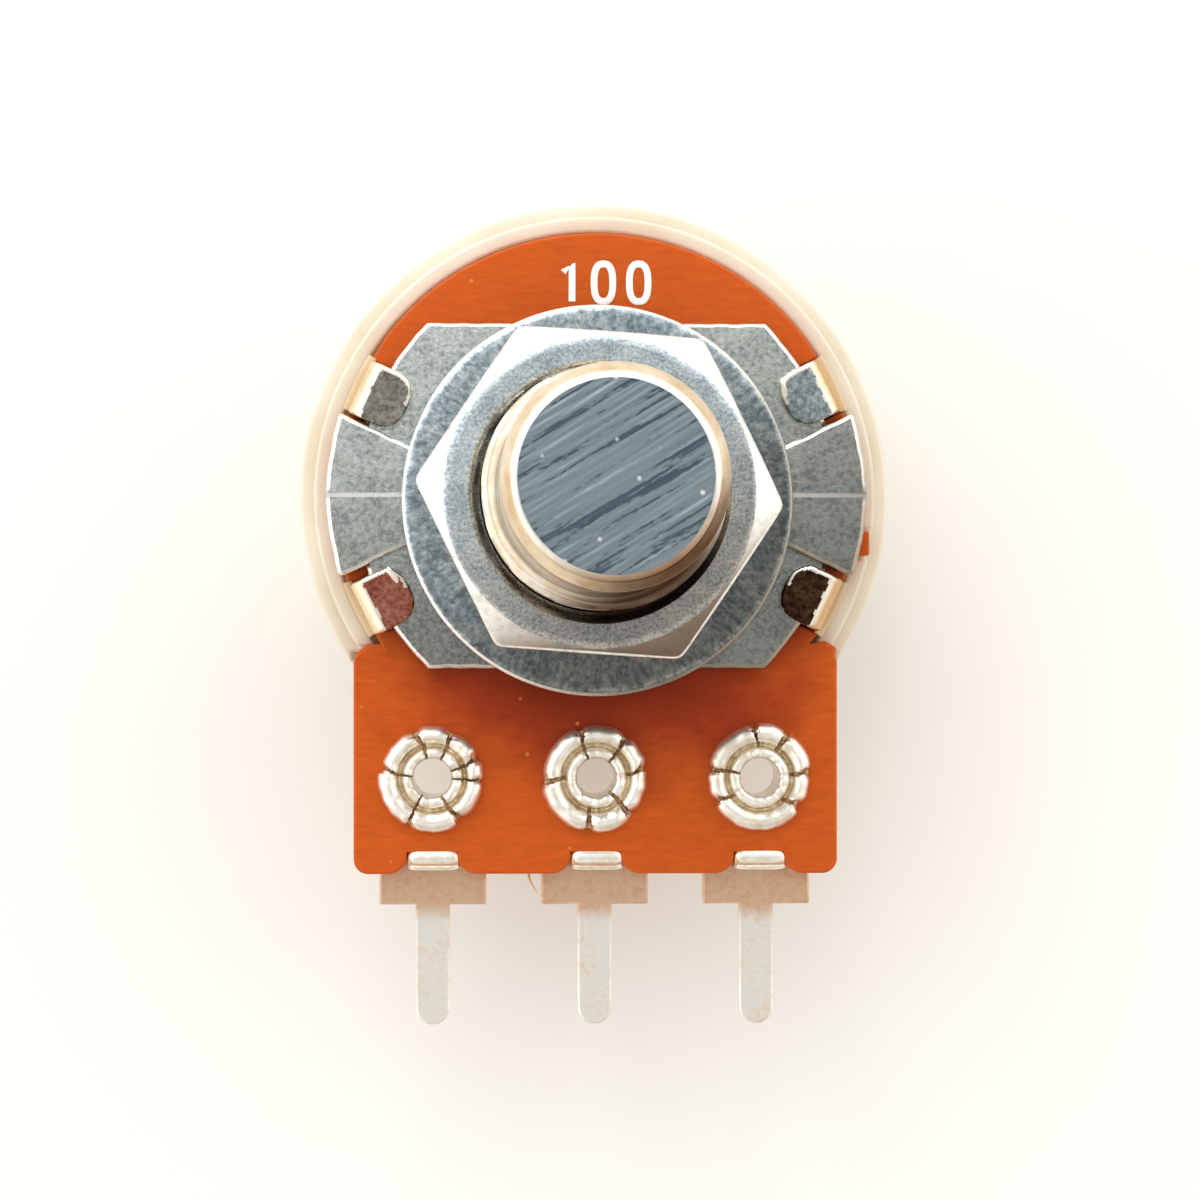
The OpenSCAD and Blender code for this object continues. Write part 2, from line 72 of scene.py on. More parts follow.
# ---- numbers and curves ----


def linear(code: str) -> tuple[float, float, float, float]:
    """Turn an sRGB hex colour into linear light.

    Args:
        code: six hex digits, with or without a leading #.

    Returns:
        Linear red, green, blue and an alpha of 1.
    """
    channels = np.array([int(code.lstrip("#")[i:i + 2], 16) / 255 for i in (0, 2, 4)])
    low = channels / 12.92
    high = ((channels + 0.055) / 1.055) ** 2.4
    red, green, blue = np.where(channels <= 0.04045, low, high)
    return float(red), float(green), float(blue), 1.0


def node_box(node: str) -> tuple[np.ndarray, np.ndarray]:
    """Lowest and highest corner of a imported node.

    Args:
        node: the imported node.

    Returns:
        Both corners, in millimetres.
    """
    low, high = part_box(node)
    return np.array(low) / MM, np.array(high) / MM


def rounded(points: list[tuple[float, float]], count: int) -> np.ndarray:
    """Carry a smooth curve through a few points (Catmull-Rom).

    Between two points the curve is the cubic whose slope at each is half the step between
    that point's neighbours.

    Args:
        points: the points that the curve passes.
        count: how many points to give for each span.

    Returns:
        The curve, one row for each point.
    """
    given = np.array(points, float)
    ends = np.vstack([2 * given[0] - given[1], given, 2 * given[-1] - given[-2]])
    before, start, end, after = ends[:-3], ends[1:-2], ends[2:-1], ends[3:]
    share = (np.arange(count) / count)[None, :, None]
    before, start, end, after = (p[:, None, :] for p in (before, start, end, after))
    curve = 0.5 * (
        2 * start
        + (end - before) * share
        + (2 * before - 5 * start + 4 * end - after) * share**2
        + (3 * start - before - 3 * end + after) * share**3
    )
    return np.vstack([curve.reshape(-1, given.shape[1]), given[-1:]])


def eased(points: list[tuple[float, float]], radius: float, count: int = 4) -> np.ndarray:
    """Round every inner corner of a polyline by the quadratic curve between its two sides.

    A point of the arc is (1-t)^2 A + 2t(1-t) P + t^2 B, where P is the corner and A and B lie
    one radius away from it along its two sides.

    Args:
        points: corners of the polyline, whose first and last stay sharp.
        radius: how far from a corner its rounding starts.
        count: points for each corner.

    Returns:
        The rounded polyline.
    """
    line = np.array(points, float)
    corner, before, after = line[1:-1], line[:-2], line[2:]
    back = before - corner
    on = after - corner
    room_back = np.linalg.norm(back, axis=1, keepdims=True)
    room_on = np.linalg.norm(on, axis=1, keepdims=True)
    reach = np.minimum(radius, 0.49 * np.minimum(room_back, room_on))
    start = (corner + back / room_back * reach)[:, None]
    end = (corner + on / room_on * reach)[:, None]
    t = np.linspace(0, 1, count)[None, :, None]
    arcs = (1 - t) ** 2 * start + 2 * t * (1 - t) * corner[:, None] + t**2 * end
    return np.vstack([line[:1], arcs.reshape(-1, line.shape[1]), line[-1:]])


def ripple(angle: np.ndarray, waves: int, seed: int) -> np.ndarray:
    """Smooth uneven wave round a circle, between about -1 and 1.

    It is the mean of the sines of the angle's whole multiples 1 to waves, each with a phase
    and a weight drawn from the seed.

    Args:
        angle: angles in radians.
        waves: the highest multiple.
        seed: which wave it is.

    Returns:
        The wave at each angle.
    """
    draw = np.random.default_rng(seed)
    phases = draw.uniform(0, TURN, waves)
    weights = draw.uniform(0.4, 1, waves)
    turns = np.arange(1, waves + 1)
    terms = np.sin(angle[..., None] * turns + phases) * weights
    return terms.sum(-1) / math.sqrt(waves)


# ---- meshes ----


@dataclass(frozen=True)
class Patch:
    """A grid of points in millimetres, how its sides close and each quad's material slot."""

    points: np.ndarray
    rows_close: bool = False
    columns_close: bool = True
    capped: bool = False
    slot: int | np.ndarray = 0

    def faces(self, first: int) -> np.ndarray:
        """Corner numbers of the quads, counted from the patch's first point.

        Args:
            first: number of the patch's first point in the mesh.

        Returns:
            Four corner numbers for each quad.
        """
        rows, columns = self.points.shape[:2]
        row = np.arange(rows if self.rows_close else rows - 1)
        column = np.arange(columns if self.columns_close else columns - 1)
        row, column = np.meshgrid(row, column, indexing="ij")
        next_row, next_column = (row + 1) % rows, (column + 1) % columns
        corners = [
            row * columns + column,
            row * columns + next_column,
            next_row * columns + next_column,
            next_row * columns + column,
        ]
        return first + np.stack(corners, -1).reshape(-1, 4)


def revolve(profile: np.ndarray, columns: int, centre: tuple[float, float] = (0, 0)) -> np.ndarray:
    """Turn a profile round an upright axis: x = r cos a, y = r sin a and z stays.

    Args:
        profile: radius and height of each row.
        columns: how many steps the full turn has.
        centre: where the axis stands.

    Returns:
        Points, rows by columns by 3.
    """
    angle = np.arange(columns) * TURN / columns
    radius = profile[:, 0][:, None]
    x = centre[0] + radius * np.cos(angle)
    y = centre[1] + radius * np.sin(angle)
    z = np.broadcast_to(profile[:, 1][:, None], x.shape)
    return np.stack([x, y, z], -1)


def build_mesh(name: str, patches: list[Patch]) -> bpy.types.Mesh:
    """Join patches in one closed mesh whose faces point outwards.

    Each open end of a capped patch gets a fan of triangles round its mean point.

    Args:
        name: the mesh's name.
        patches: the grids.

    Returns:
        The mesh, in metres.
    """
    points: list[np.ndarray] = []
    faces: list[list[int]] = []
    slots: list[int] = []
    total = 0
    for patch in patches:
        rows, columns = patch.points.shape[:2]
        quads = patch.faces(total).tolist()
        slots += np.broadcast_to(np.ravel(patch.slot), len(quads)).tolist()
        points.append(patch.points.reshape(-1, 3))
        if patch.capped:
            middles = patch.points[[0, -1]].mean(axis=1)
            points.append(middles)
            for end, start in ((0, 0), (1, (rows - 1) * columns)):
                ring = total + start + np.arange(columns)
                middle = np.full(columns, total + rows * columns + end)
                quads += np.stack([middle, ring, np.roll(ring, -1)], -1).tolist()
                slots += [slots[-1]] * columns
        faces += quads
        total = sum(len(p) for p in points)
    mesh = bpy.data.meshes.new(name)
    mesh.from_pydata((np.vstack(points) * MM).tolist(), [], faces)
    mesh.polygons.foreach_set("material_index", slots)
    shape = bmesh.new()
    shape.from_mesh(mesh)
    bmesh.ops.remove_doubles(shape, verts=shape.verts, dist=1e-8)
    bmesh.ops.dissolve_degenerate(shape, edges=shape.edges, dist=1e-9)
    bmesh.ops.recalc_face_normals(shape, faces=shape.faces)
    shape.to_mesh(mesh)
    shape.free()
    return mesh


def points_of(mesh: bpy.types.Mesh) -> np.ndarray:
    """Read the points of a mesh.

    Args:
        mesh: the mesh, in metres.

    Returns:
        One row for each point, in millimetres.
    """
    places = np.empty(3 * len(mesh.vertices))
    mesh.vertices.foreach_get("co", places)
    return places.reshape(-1, 3) / MM


def move_points(mesh: bpy.types.Mesh, places: np.ndarray) -> None:
    """Put the points of a mesh where the rows say.

    Args:
        mesh: the mesh, in metres, which is changed.
        places: one row for each point, in millimetres.
    """
    mesh.vertices.foreach_set("co", (places * MM).ravel())


def along_claw(x: np.ndarray, y: np.ndarray, angle: float) -> tuple[np.ndarray, np.ndarray]:
    """Turn x and y into the distances out along a claw's middle line and across it.

    Args:
        x: distances along X.
        y: distances along Y.
        angle: the claw's angle, in radians.

    Returns:
        The distances out and across.
    """
    out = x * math.cos(angle) + y * math.sin(angle)
    across = y * math.cos(angle) - x * math.sin(angle)
    return out, across


def from_claw(out: np.ndarray, across: np.ndarray, angle: float) -> tuple[np.ndarray, np.ndarray]:
    """Turn the distances out along a claw and across it back into x and y.

    Args:
        out: distances along the claw's middle line.
        across: distances across it.
        angle: the claw's angle, in radians.

    Returns:
        The distances along X and Y.
    """
    x = out * math.cos(angle) - across * math.sin(angle)
    y = out * math.sin(angle) + across * math.cos(angle)
    return x, y


def add_piece(
    mesh: bpy.types.Mesh,
    finishes: "list[Finish]",
    body: str,
    stands_for: tuple[str, ...] = (),
    sharp: float = 40.0,
) -> None:
    """Put a finished mesh in the scene and hang it on its body.

    Args:
        mesh: the mesh, in the model's frame.
        finishes: one finish for each of the mesh's material slots.
        body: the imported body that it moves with.
        stands_for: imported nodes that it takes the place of.
        sharp: edges steeper than this many degrees stay sharp.
    """
    piece = bpy.data.objects.new(mesh.name, mesh)
    bpy.context.scene.collection.objects.link(piece)
    for finish in finishes:
        mesh.materials.append(finish.material())
    mesh.set_sharp_from_angle(angle=math.radians(sharp))
    rise = np.empty(3 * len(mesh.polygons))
    mesh.polygons.foreach_get("normal", rise)
    mesh.polygons.foreach_set("use_smooth", np.abs(rise[2::3]) < LEVEL_NORMAL)
    piece.modifiers.new("flat_faces", "WEIGHTED_NORMAL").keep_sharp = True
    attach(piece, body)
    if stands_for:
        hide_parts(*stands_for)
    log.info("%s rides on %s", piece.name, body)


def is_upright(edge: bmesh.types.BMEdge) -> bool:
    """Whether an edge's ends stand at different heights."""
    start, end = edge.verts
    return abs(start.co.z - end.co.z) > LEVEL_GAP * MM


def is_rounded(edge: bmesh.types.BMEdge, sheared: bool, spare: float) -> bool:
    """Whether an edge is one that wear and plating round: convex, steep and not spared.

    Args:
        edge: the edge.
        sheared: whether it belongs to a sheared outline, whose small steps stay.
        spare: edges that lie within this distance of the X axis, in millimetres, stay.

    Returns:
        True if the edge is rounded.
    """
    if not (edge.is_manifold and edge.is_convex):
        return False
    least = STEEP_UPRIGHT if sheared and is_upright(edge) else STEEP
    return edge.calc_face_angle() > least and max(abs(v.co.y) for v in edge.verts) > spare * MM


def torn(mesh: bpy.types.Mesh, edges: float, depth: float, spare: float) -> None:
    """Make a stamped outline uneven, as shears leave it.

    Long level edges are cut in short lengths. Every point then moves by a sum of sines of its
    x and y, so that the upper and the lower outline stay over each other.

    Args:
        mesh: the mesh, in metres, which is changed.
        edges: length of the short pieces, in millimetres.
        depth: how far a point moves at most, in millimetres.
        spare: points this near to the X axis stay.
    """
    waves, blend, raised_centre = 5, 0.3, 6.0
    shape = bmesh.new()
    shape.from_mesh(mesh)
    for edge in [e for e in shape.edges if e.calc_length() > 2 * edges * MM]:
        (start, end), pieces = edge.verts, int(edge.calc_length() / (edges * MM))
        if is_upright(edge):
            continue
        for left in range(pieces, 1, -1):
            near, new = bmesh.utils.edge_split(edge, start, 1 / left)
            edge = next(e for e in new.link_edges if e != near)
            start = new
    shape.to_mesh(mesh)
    shape.free()
    places = points_of(mesh)
    x, y = places[:, :2].T.copy()
    beyond = np.clip((np.hypot(x, y) - raised_centre) / blend, 0, 1)
    free = beyond * np.clip((np.abs(y) - spare) / blend, 0, 1)
    places[:, 0] += depth * free * ripple(0.9 * x + 1.7 * y, waves, 71)
    places[:, 1] += depth * free * ripple(1.6 * x - 0.8 * y, waves, 72)
    move_points(mesh, places)


def soften(
    node: str, name: str, edge: float, steps: int = 3, spare: float = 0.0,
    profile: float = 0.5, depth: float = 0.0,
) -> bpy.types.Mesh:
    """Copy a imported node, merge its loose triangles and round its edges.

    Merging leaves one ring-shaped polygon round a hole, and its triangles can then span the
    hole. The housing's do, over its cavity, so it has a thin stray skin inside.

    Args:
        node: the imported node.
        name: name of the new mesh.
        edge: width of the rounding, in millimetres.
        steps: segments across the rounding.
        spare: edges that lie within this distance of the X axis stay as they are.
        profile: 0.5 for a round edge, 0.25 for a flat bevel.
        depth: how uneven the outline is, in millimetres.

    Returns:
        The mesh, with the rounding in it and no larger than the node.
    """
    shortest = 0.2
    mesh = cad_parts[node].data.copy()
    mesh.name = name
    mesh.materials.clear()
    shape = bmesh.new()
    shape.from_mesh(mesh)
    bmesh.ops.remove_doubles(shape, verts=shape.verts, dist=1e-7)
    bmesh.ops.dissolve_limit(shape, angle_limit=math.radians(0.5), verts=shape.verts, edges=shape.edges)
    if depth:
        shape.to_mesh(mesh)
        torn(mesh, shortest, depth, spare + shortest)
        shape.clear()
        shape.from_mesh(mesh)
    steep = [e for e in shape.edges if is_rounded(e, bool(depth), spare)]
    bmesh.ops.bevel(
        shape, geom=steep, offset=edge * MM, offset_type="OFFSET", segments=steps, profile=profile,
        affect="EDGES", clamp_overlap=False, miter_outer="SHARP", loop_slide=True,
    )
    bmesh.ops.triangulate(shape, faces=[f for f in shape.faces if len(f.verts) > 4])
    shape.to_mesh(mesh)
    shape.free()
    low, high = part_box(node)
    move_points(mesh, np.clip(points_of(mesh), np.array(low) / MM, np.array(high) / MM))
    return mesh


# ---- finishes ----


class Lay(Enum):
    """Which way the fine marks of a surface run."""

    MOTTLED = "tumbled, in no direction"
    RADIAL = "outwards from the axis"
    TURNED = "round the axis"


def add_node(
    tree: bpy.types.NodeTree,
    kind: str,
    sockets: dict[int | str, object] | None = None,
    stops: list[Stop] | None = None,
    **settings: object,
) -> bpy.types.Node:
    """Add a node, set it up and link it.

    Args:
        tree: the node tree.
        kind: the node's type.
        sockets: a value, or the output to link, for each input.
        stops: places and colours of a colour ramp.
        settings: the node's own properties.

    Returns:
        The node.
    """
    node = tree.nodes.new(kind)
    for key, value in settings.items():
        setattr(node, key, value)
    for key, value in (sockets or {}).items():
        if isinstance(value, bpy.types.NodeSocket):
            tree.links.new(value, node.inputs[key])
        else:
            node.inputs[key].default_value = value
    if stops:
        ramp = node.color_ramp
        while len(ramp.elements) < len(stops):
            ramp.elements.new(0.5)
        for element, (place, colour) in zip(ramp.elements, stops):
            element.position = place
            element.color = colour
    return node


@dataclass(frozen=True)
class Finish:
    """What every finish has: its name, and the record's slot that it belongs to."""

    name: str
    slot: str

    def material(self) -> bpy.types.Material:
        """The finish as a material, made once."""
        known = bpy.data.materials.get(self.name)
        if known:
            return known
        material = bpy.data.materials.new(self.name)
        material.use_nodes = True
        tree = material.node_tree
        tree.nodes.clear()
        place = add_node(tree, "ShaderNodeTexCoord").outputs["Object"]
        shader = self.shade(tree, place)
        add_node(tree, "ShaderNodeOutputMaterial", {"Surface": shader.outputs[0]})
        return material

    def shade(self, tree: bpy.types.NodeTree, place: bpy.types.NodeSocket) -> bpy.types.Node:
        """Build the finish's own nodes; each kind of finish has its own.

        Args:
            tree: the material's node tree.
            place: the piece's Object coordinates.

        Returns:
            The shader node.
        """
        raise NotImplementedError


@dataclass(frozen=True)
class Fade:
    """Painted shade and painted reflection that grow along a line: the tint's colour, its way and where
    it starts and ends.
    """

    colour: str
    way: tuple[float, float, float]
    start: float
    end: float


@dataclass(frozen=True)
class PlatedMetal(Finish):
    """Plated metal with a fine grain: dull patches, bright flecks and a slight orange peel.

    Cold-formed sheet is tumbled and plated, so it has no brushed lines of its own: the eye
    sees a grey that breaks up in cloudy flecks and catches white on every rounded edge.
    """

    light: str = "#C8CCCA"
    dark: str = "#8C9294"
    fleck: str = "#F4F5F2"
    roughness: float = 0.26
    grain: float = 0.16
    relief: float = 0.012
    lay: Lay = Lay.MOTTLED
    stretch: float = 8.0
    fade: Fade | None = None
    centre: tuple[float, float, float] = (0, 0, 0)
    turned_radius: float = 4.5

    def coordinates(
        self, tree: bpy.types.NodeTree, place: bpy.types.NodeSocket,
    ) -> bpy.types.NodeSocket:
        """Coordinates in grains, stretched the way that the marks run.

        Round an axis they are the cosine and sine of the angle times the turning scale, and
        the radius and the height times theirs, so that no seam shows.

        Args:
            tree: the material's node tree.
            place: the piece's Object coordinates.

        Returns:
            The coordinates for the grain's noise.
        """
        fine = 1 / (self.grain * MM)
        long = fine / self.stretch
        if self.lay is Lay.MOTTLED:
            return add_node(
                tree, "ShaderNodeVectorMath", {0: place, 3: fine}, operation="SCALE",
            ).outputs[0]
        turn, out, up = {
            Lay.RADIAL: (fine, long, long),
            Lay.TURNED: (long, fine, fine),
        }[self.lay]
        arm = self.turned_radius * MM
        middle = tuple(c * MM for c in self.centre)
        moved = add_node(
            tree, "ShaderNodeVectorMath", {0: place, 1: middle}, operation="SUBTRACT",
        ).outputs[0]
        flat = add_node(
            tree, "ShaderNodeVectorMath", {0: moved, 1: (1, 1, 0)}, operation="MULTIPLY",
        ).outputs[0]
        unit = add_node(tree, "ShaderNodeVectorMath", {0: flat}, operation="NORMALIZE").outputs[0]
        radius = add_node(tree, "ShaderNodeVectorMath", {0: flat}, operation="LENGTH").outputs["Value"]
        height = add_node(tree, "ShaderNodeSeparateXYZ", {0: moved}).outputs[2]
        rise = add_node(tree, "ShaderNodeMath", {0: height, 1: up}, operation="MULTIPLY").outputs[0]
        third = add_node(
            tree, "ShaderNodeMath", {0: radius, 1: out, 2: rise}, operation="MULTIPLY_ADD",
        ).outputs[0]
        lifted = add_node(tree, "ShaderNodeCombineXYZ", {2: third}).outputs[0]
        return add_node(
            tree, "ShaderNodeVectorMath", {0: unit, 1: (turn * arm, turn * arm, 0), 2: lifted},
            operation="MULTIPLY_ADD",
        ).outputs[0]

    def tinted(
        self, tree: bpy.types.NodeTree, place: bpy.types.NodeSocket, tone: bpy.types.NodeSocket,
    ) -> bpy.types.NodeSocket:
        """The tone with the fade, a painted tint, laid over it: its share is the place along its way.

        The fade stays with the metal, so on a piece that turns it turns too.

        Args:
            tree: the material's node tree.
            place: the piece's Object coordinates.
            tone: the metal's colour.

        Returns:
            The colour with the fade multiplied in.
        """
        if self.fade is None:
            return tone
        along = add_node(
            tree, "ShaderNodeVectorMath", {0: place, 1: self.fade.way}, operation="DOT_PRODUCT",
        ).outputs["Value"]
        share = add_node(
            tree, "ShaderNodeMapRange",
            {
                "Value": along, "From Min": self.fade.start * MM, "From Max": self.fade.end * MM,
                "To Min": 0.0, "To Max": 1.0,
            },
            interpolation_type="SMOOTHSTEP",
        ).outputs[0]
        return add_node(
            tree, "ShaderNodeMix", {0: share, 6: tone, 7: linear(self.fade.colour)},
            data_type="RGBA", blend_type="MULTIPLY",
        ).outputs[2]

    def shade(self, tree: bpy.types.NodeTree, place: bpy.types.NodeSocket) -> bpy.types.Node:
        """Grain sets colour, gloss and relief; a broad cloud shifts the tone.

        Args:
            tree: the material's node tree.
            place: the piece's Object coordinates.

        Returns:
            The shader node.
        """
        grain = add_node(
            tree, "ShaderNodeTexNoise",
            {
                "Vector": self.coordinates(tree, place), "Scale": 1.0, "Detail": 4.0,
                "Roughness": 0.62, "Distortion": 0.25,
            },
        ).outputs["Fac"]
        cloud = add_node(
            tree, "ShaderNodeTexNoise",
            {"Vector": place, "Scale": 1 / (6 * self.grain * MM), "Detail": 3.0, "Roughness": 0.55},
        ).outputs["Fac"]
        mixed = add_node(
            tree, "ShaderNodeMath", {0: cloud, 1: 0.45, 2: grain}, operation="MULTIPLY_ADD",
        ).outputs[0]
        tone = add_node(
            tree, "ShaderNodeValToRGB", {0: mixed},
            stops=[(0.56, linear(self.dark)), (0.72, linear(self.light)), (0.92, linear(self.fleck))],
        ).outputs[0]
        gloss = add_node(
            tree, "ShaderNodeMapRange",
            {
                "Value": mixed, "From Min": 0.5, "From Max": 0.9,
                "To Min": self.roughness + 0.08, "To Max": self.roughness - 0.06,
            },
        ).outputs[0]
        bump = add_node(
            tree, "ShaderNodeBump",
            {"Height": mixed, "Distance": self.relief * MM, "Strength": 1.0},
        ).outputs[0]
        return add_node(
            tree, "ShaderNodeBsdfPrincipled",
            {
                "Base Color": self.tinted(tree, place, tone), "Metallic": 1.0,
                "Roughness": gloss, "Normal": bump,
            },
        )


@dataclass(frozen=True)
class SawnEnd(Finish):
    """Aluminium bar cut off by a circular saw: blue-grey, with slanting tooth lines.

    The saw's teeth leave broken furrows of uneven width on a dull grey face, and small torn burrs
    where a tooth leaves the bar; painted shade darkens the furrows and painted highlight lightens
    the ridges and whitens the burrs.
    """

    slant: float = 31.0
    furrow: float = 0.19
    face: str = "#86939C"
    # The groove colour is painted shade; the ridge and burr colours are painted highlight.
    groove: str = "#57646F"
    torn: str = "#909CA5"
    crest_highlight: str = "#A9B4BB"
    burr: str = "#F4F8F8"

    def shade(self, tree: bpy.types.NodeTree, place: bpy.types.NodeSocket) -> bpy.types.Node:
        """Two noises stretched along the cut make the furrows, painted shade; far cells' middles the
        burrs, painted highlight.

        Args:
            tree: the material's node tree.
            place: the piece's Object coordinates.

        Returns:
            The shader node.
        """
        turned = add_node(
            tree, "ShaderNodeMapping", {"Vector": place, "Rotation": (0, 0, -math.radians(self.slant))},
        ).outputs[0]
        layers = []
        for width, stretch, detail in ((self.furrow, 18.0, 1.0), (0.35 * self.furrow, 3.5, 2.0)):
            scale = 1 / (width * MM)
            lines = add_node(
                tree, "ShaderNodeVectorMath", {0: turned, 1: (scale / stretch, scale, scale)},
                operation="MULTIPLY",
            ).outputs[0]
            layers.append(add_node(
                tree, "ShaderNodeTexNoise",
                {"Vector": lines, "Scale": 1.0, "Detail": detail, "Roughness": 0.5},
            ).outputs["Fac"])
        height = add_node(
            tree, "ShaderNodeMath", {0: layers[1], 1: 0.3, 2: layers[0]}, operation="MULTIPLY_ADD",
        ).outputs[0]
        # Low relief takes the groove colour as painted shade, high relief the ridge colour as painted
        # highlight.
        tone = add_node(
            tree, "ShaderNodeValToRGB", {0: height},
            stops=[
                (0.52, linear(self.groove)), (0.585, linear(self.face)),
                (0.86, linear(self.torn)), (1.0, linear(self.crest_highlight)),
            ],
        ).outputs[0]
        cells = add_node(
            tree, "ShaderNodeTexVoronoi", {"Vector": turned, "Scale": 1 / (0.62 * MM)},
        ).outputs["Distance"]
        # Near the cells' middles the burr colour paints small white highlights.
        spot = add_node(
            tree, "ShaderNodeMapRange",
            {"Value": cells, "From Min": 0.07, "From Max": 0.14, "To Min": 0.9, "To Max": 0.0},
        ).outputs[0]
        tone = add_node(
            tree, "ShaderNodeMix", {0: spot, 6: tone, 7: linear(self.burr)}, data_type="RGBA",
        ).outputs[2]
        bump = add_node(
            tree, "ShaderNodeBump", {"Height": height, "Distance": 0.008 * MM, "Strength": 1.0},
        ).outputs[0]
        return add_node(
            tree, "ShaderNodeBsdfPrincipled",
            {"Base Color": tone, "Metallic": 1.0, "Roughness": 0.42, "Normal": bump},
        )


@dataclass(frozen=True)
class PunchedLaminate(Finish):
    """Phenolic paper laminate, pressed smooth and punched: amber red, glossy, a little clear.

    Resin-soaked paper: a painted glow makes it orange towards its edges, where light gets in,
    and a painted shade deepens it towards the middle; its face shows faint fibre and a few
    pale specks.
    """

    # The edge colour is a painted glow; the middle colour and the deepest colour are painted shade.
    edge: str = "#C9591C"
    middle: str = "#A03816"
    painted_shade_colour: str = "#8A2C12"
    speck: str = "#E9985A"
    painted_shade_centre: tuple[float, float, float] = (0.0, -4.6, 7.0)
    painted_shade_size: tuple[float, float, float] = (10.0, 6.8, 6.8)

    def shade(self, tree: bpy.types.NodeTree, place: bpy.types.NodeSocket) -> bpy.types.Node:
        """Distance from a point below the axis deepens the red, a painted shade; fibre noise and specks
        break it up.

        Args:
            tree: the material's node tree.
            place: the piece's Object coordinates.

        Returns:
            The shader node.
        """
        cloud = add_node(
            tree, "ShaderNodeTexNoise",
            {"Vector": place, "Scale": 1 / (2.2 * MM), "Detail": 4.0, "Roughness": 0.5},
        ).outputs["Fac"]
        # Painted shade: the red deepens towards a point at the washer's lower edge.
        near = add_node(
            tree, "ShaderNodeMapping",
            {
                "Vector": place,
                "Location": tuple(-c / r for c, r in zip(self.painted_shade_centre, self.painted_shade_size)),
                "Scale": tuple(1 / (r * MM) for r in self.painted_shade_size),
            },
        ).outputs[0]
        far = add_node(tree, "ShaderNodeVectorMath", {0: near}, operation="LENGTH").outputs["Value"]
        share = add_node(
            tree, "ShaderNodeMath", {0: cloud, 1: 0.5, 2: far}, operation="MULTIPLY_ADD",
        ).outputs[0]
        tone = add_node(
            tree, "ShaderNodeValToRGB", {0: share},
            stops=[
                (0.3, linear(self.painted_shade_colour)), (0.72, linear(self.middle)), (1.0, linear(self.edge)),
            ],
        ).outputs[0]
        paper = add_node(
            tree, "ShaderNodeMapping", {"Vector": place, "Scale": (1400.0, 6500.0, 6500.0)},
        )
        fibre = add_node(
            tree, "ShaderNodeTexNoise",
            {"Vector": paper.outputs[0], "Scale": 1.0, "Detail": 5.0, "Roughness": 0.7},
        ).outputs["Fac"]
        specks = add_node(
            tree, "ShaderNodeTexVoronoi", {"Vector": place, "Scale": 1 / (1.1 * MM)},
        ).outputs["Distance"]
        dot = add_node(
            tree, "ShaderNodeMapRange",
            {"Value": specks, "From Min": 0.03, "From Max": 0.07, "To Min": 0.6, "To Max": 0.0},
        ).outputs[0]
        tone = add_node(
            tree, "ShaderNodeMix", {0: dot, 6: tone, 7: linear(self.speck)}, data_type="RGBA",
        ).outputs[2]
        shift = add_node(
            tree, "ShaderNodeMapRange",
            {"Value": fibre, "From Min": 0.3, "From Max": 0.7, "To Min": 0.86, "To Max": 1.12},
        ).outputs[0]
        tone = add_node(
            tree, "ShaderNodeHueSaturation", {"Color": tone, "Value": shift},
        ).outputs[0]
        bump = add_node(
            tree, "ShaderNodeBump", {"Height": fibre, "Distance": 0.004 * MM, "Strength": 1.0},
        )
        return add_node(
            tree, "ShaderNodeBsdfPrincipled",
            {
                "Base Color": tone, "Roughness": 0.42, "IOR": 1.5, "Specular IOR Level": 0.12,
                "Subsurface Weight": 0.15, "Subsurface Radius": (1.0, 0.25, 0.05),
                "Subsurface Scale": 0.6 * MM, "Normal": bump.outputs[0],
            },
        )


@dataclass(frozen=True)
class MouldedPlastic(Finish):
    """Moulded plastic: soft sheen, a fine mould texture and faint clouding of the melt."""

    colour: str = "#E9E0D0"
    cloud: str = "#DFD3BE"
    roughness: float = 0.36
    clear: float = 0.35
    depth: float = 2.0

    def shade(self, tree: bpy.types.NodeTree, place: bpy.types.NodeSocket) -> bpy.types.Node:
        """A broad cloud in the colour and a fine grain in the relief.

        Args:
            tree: the material's node tree.
            place: the piece's Object coordinates.

        Returns:
            The shader node.
        """
        broad = add_node(
            tree, "ShaderNodeTexNoise",
            {"Vector": place, "Scale": 1 / (3.0 * MM), "Detail": 3.0, "Roughness": 0.5},
        )
        tone = add_node(
            tree, "ShaderNodeValToRGB", {0: broad.outputs["Fac"]},
            stops=[(0.35, linear(self.cloud)), (0.62, linear(self.colour))],
        )
        grain = add_node(
            tree, "ShaderNodeTexNoise",
            {"Vector": place, "Scale": 1 / (0.12 * MM), "Detail": 3.0, "Roughness": 0.6},
        )
        bump = add_node(
            tree, "ShaderNodeBump",
            {"Height": grain.outputs["Fac"], "Distance": 0.003 * MM, "Strength": 1.0},
        )
        return add_node(
            tree, "ShaderNodeBsdfPrincipled",
            {
                "Base Color": tone.outputs[0], "Roughness": self.roughness, "IOR": 1.53,
                "Specular IOR Level": 0.3,
                "Subsurface Weight": self.clear, "Subsurface Radius": (1.0, 0.88, 0.72),
                "Subsurface Scale": self.depth * MM, "Normal": bump.outputs[0],
            },
        )


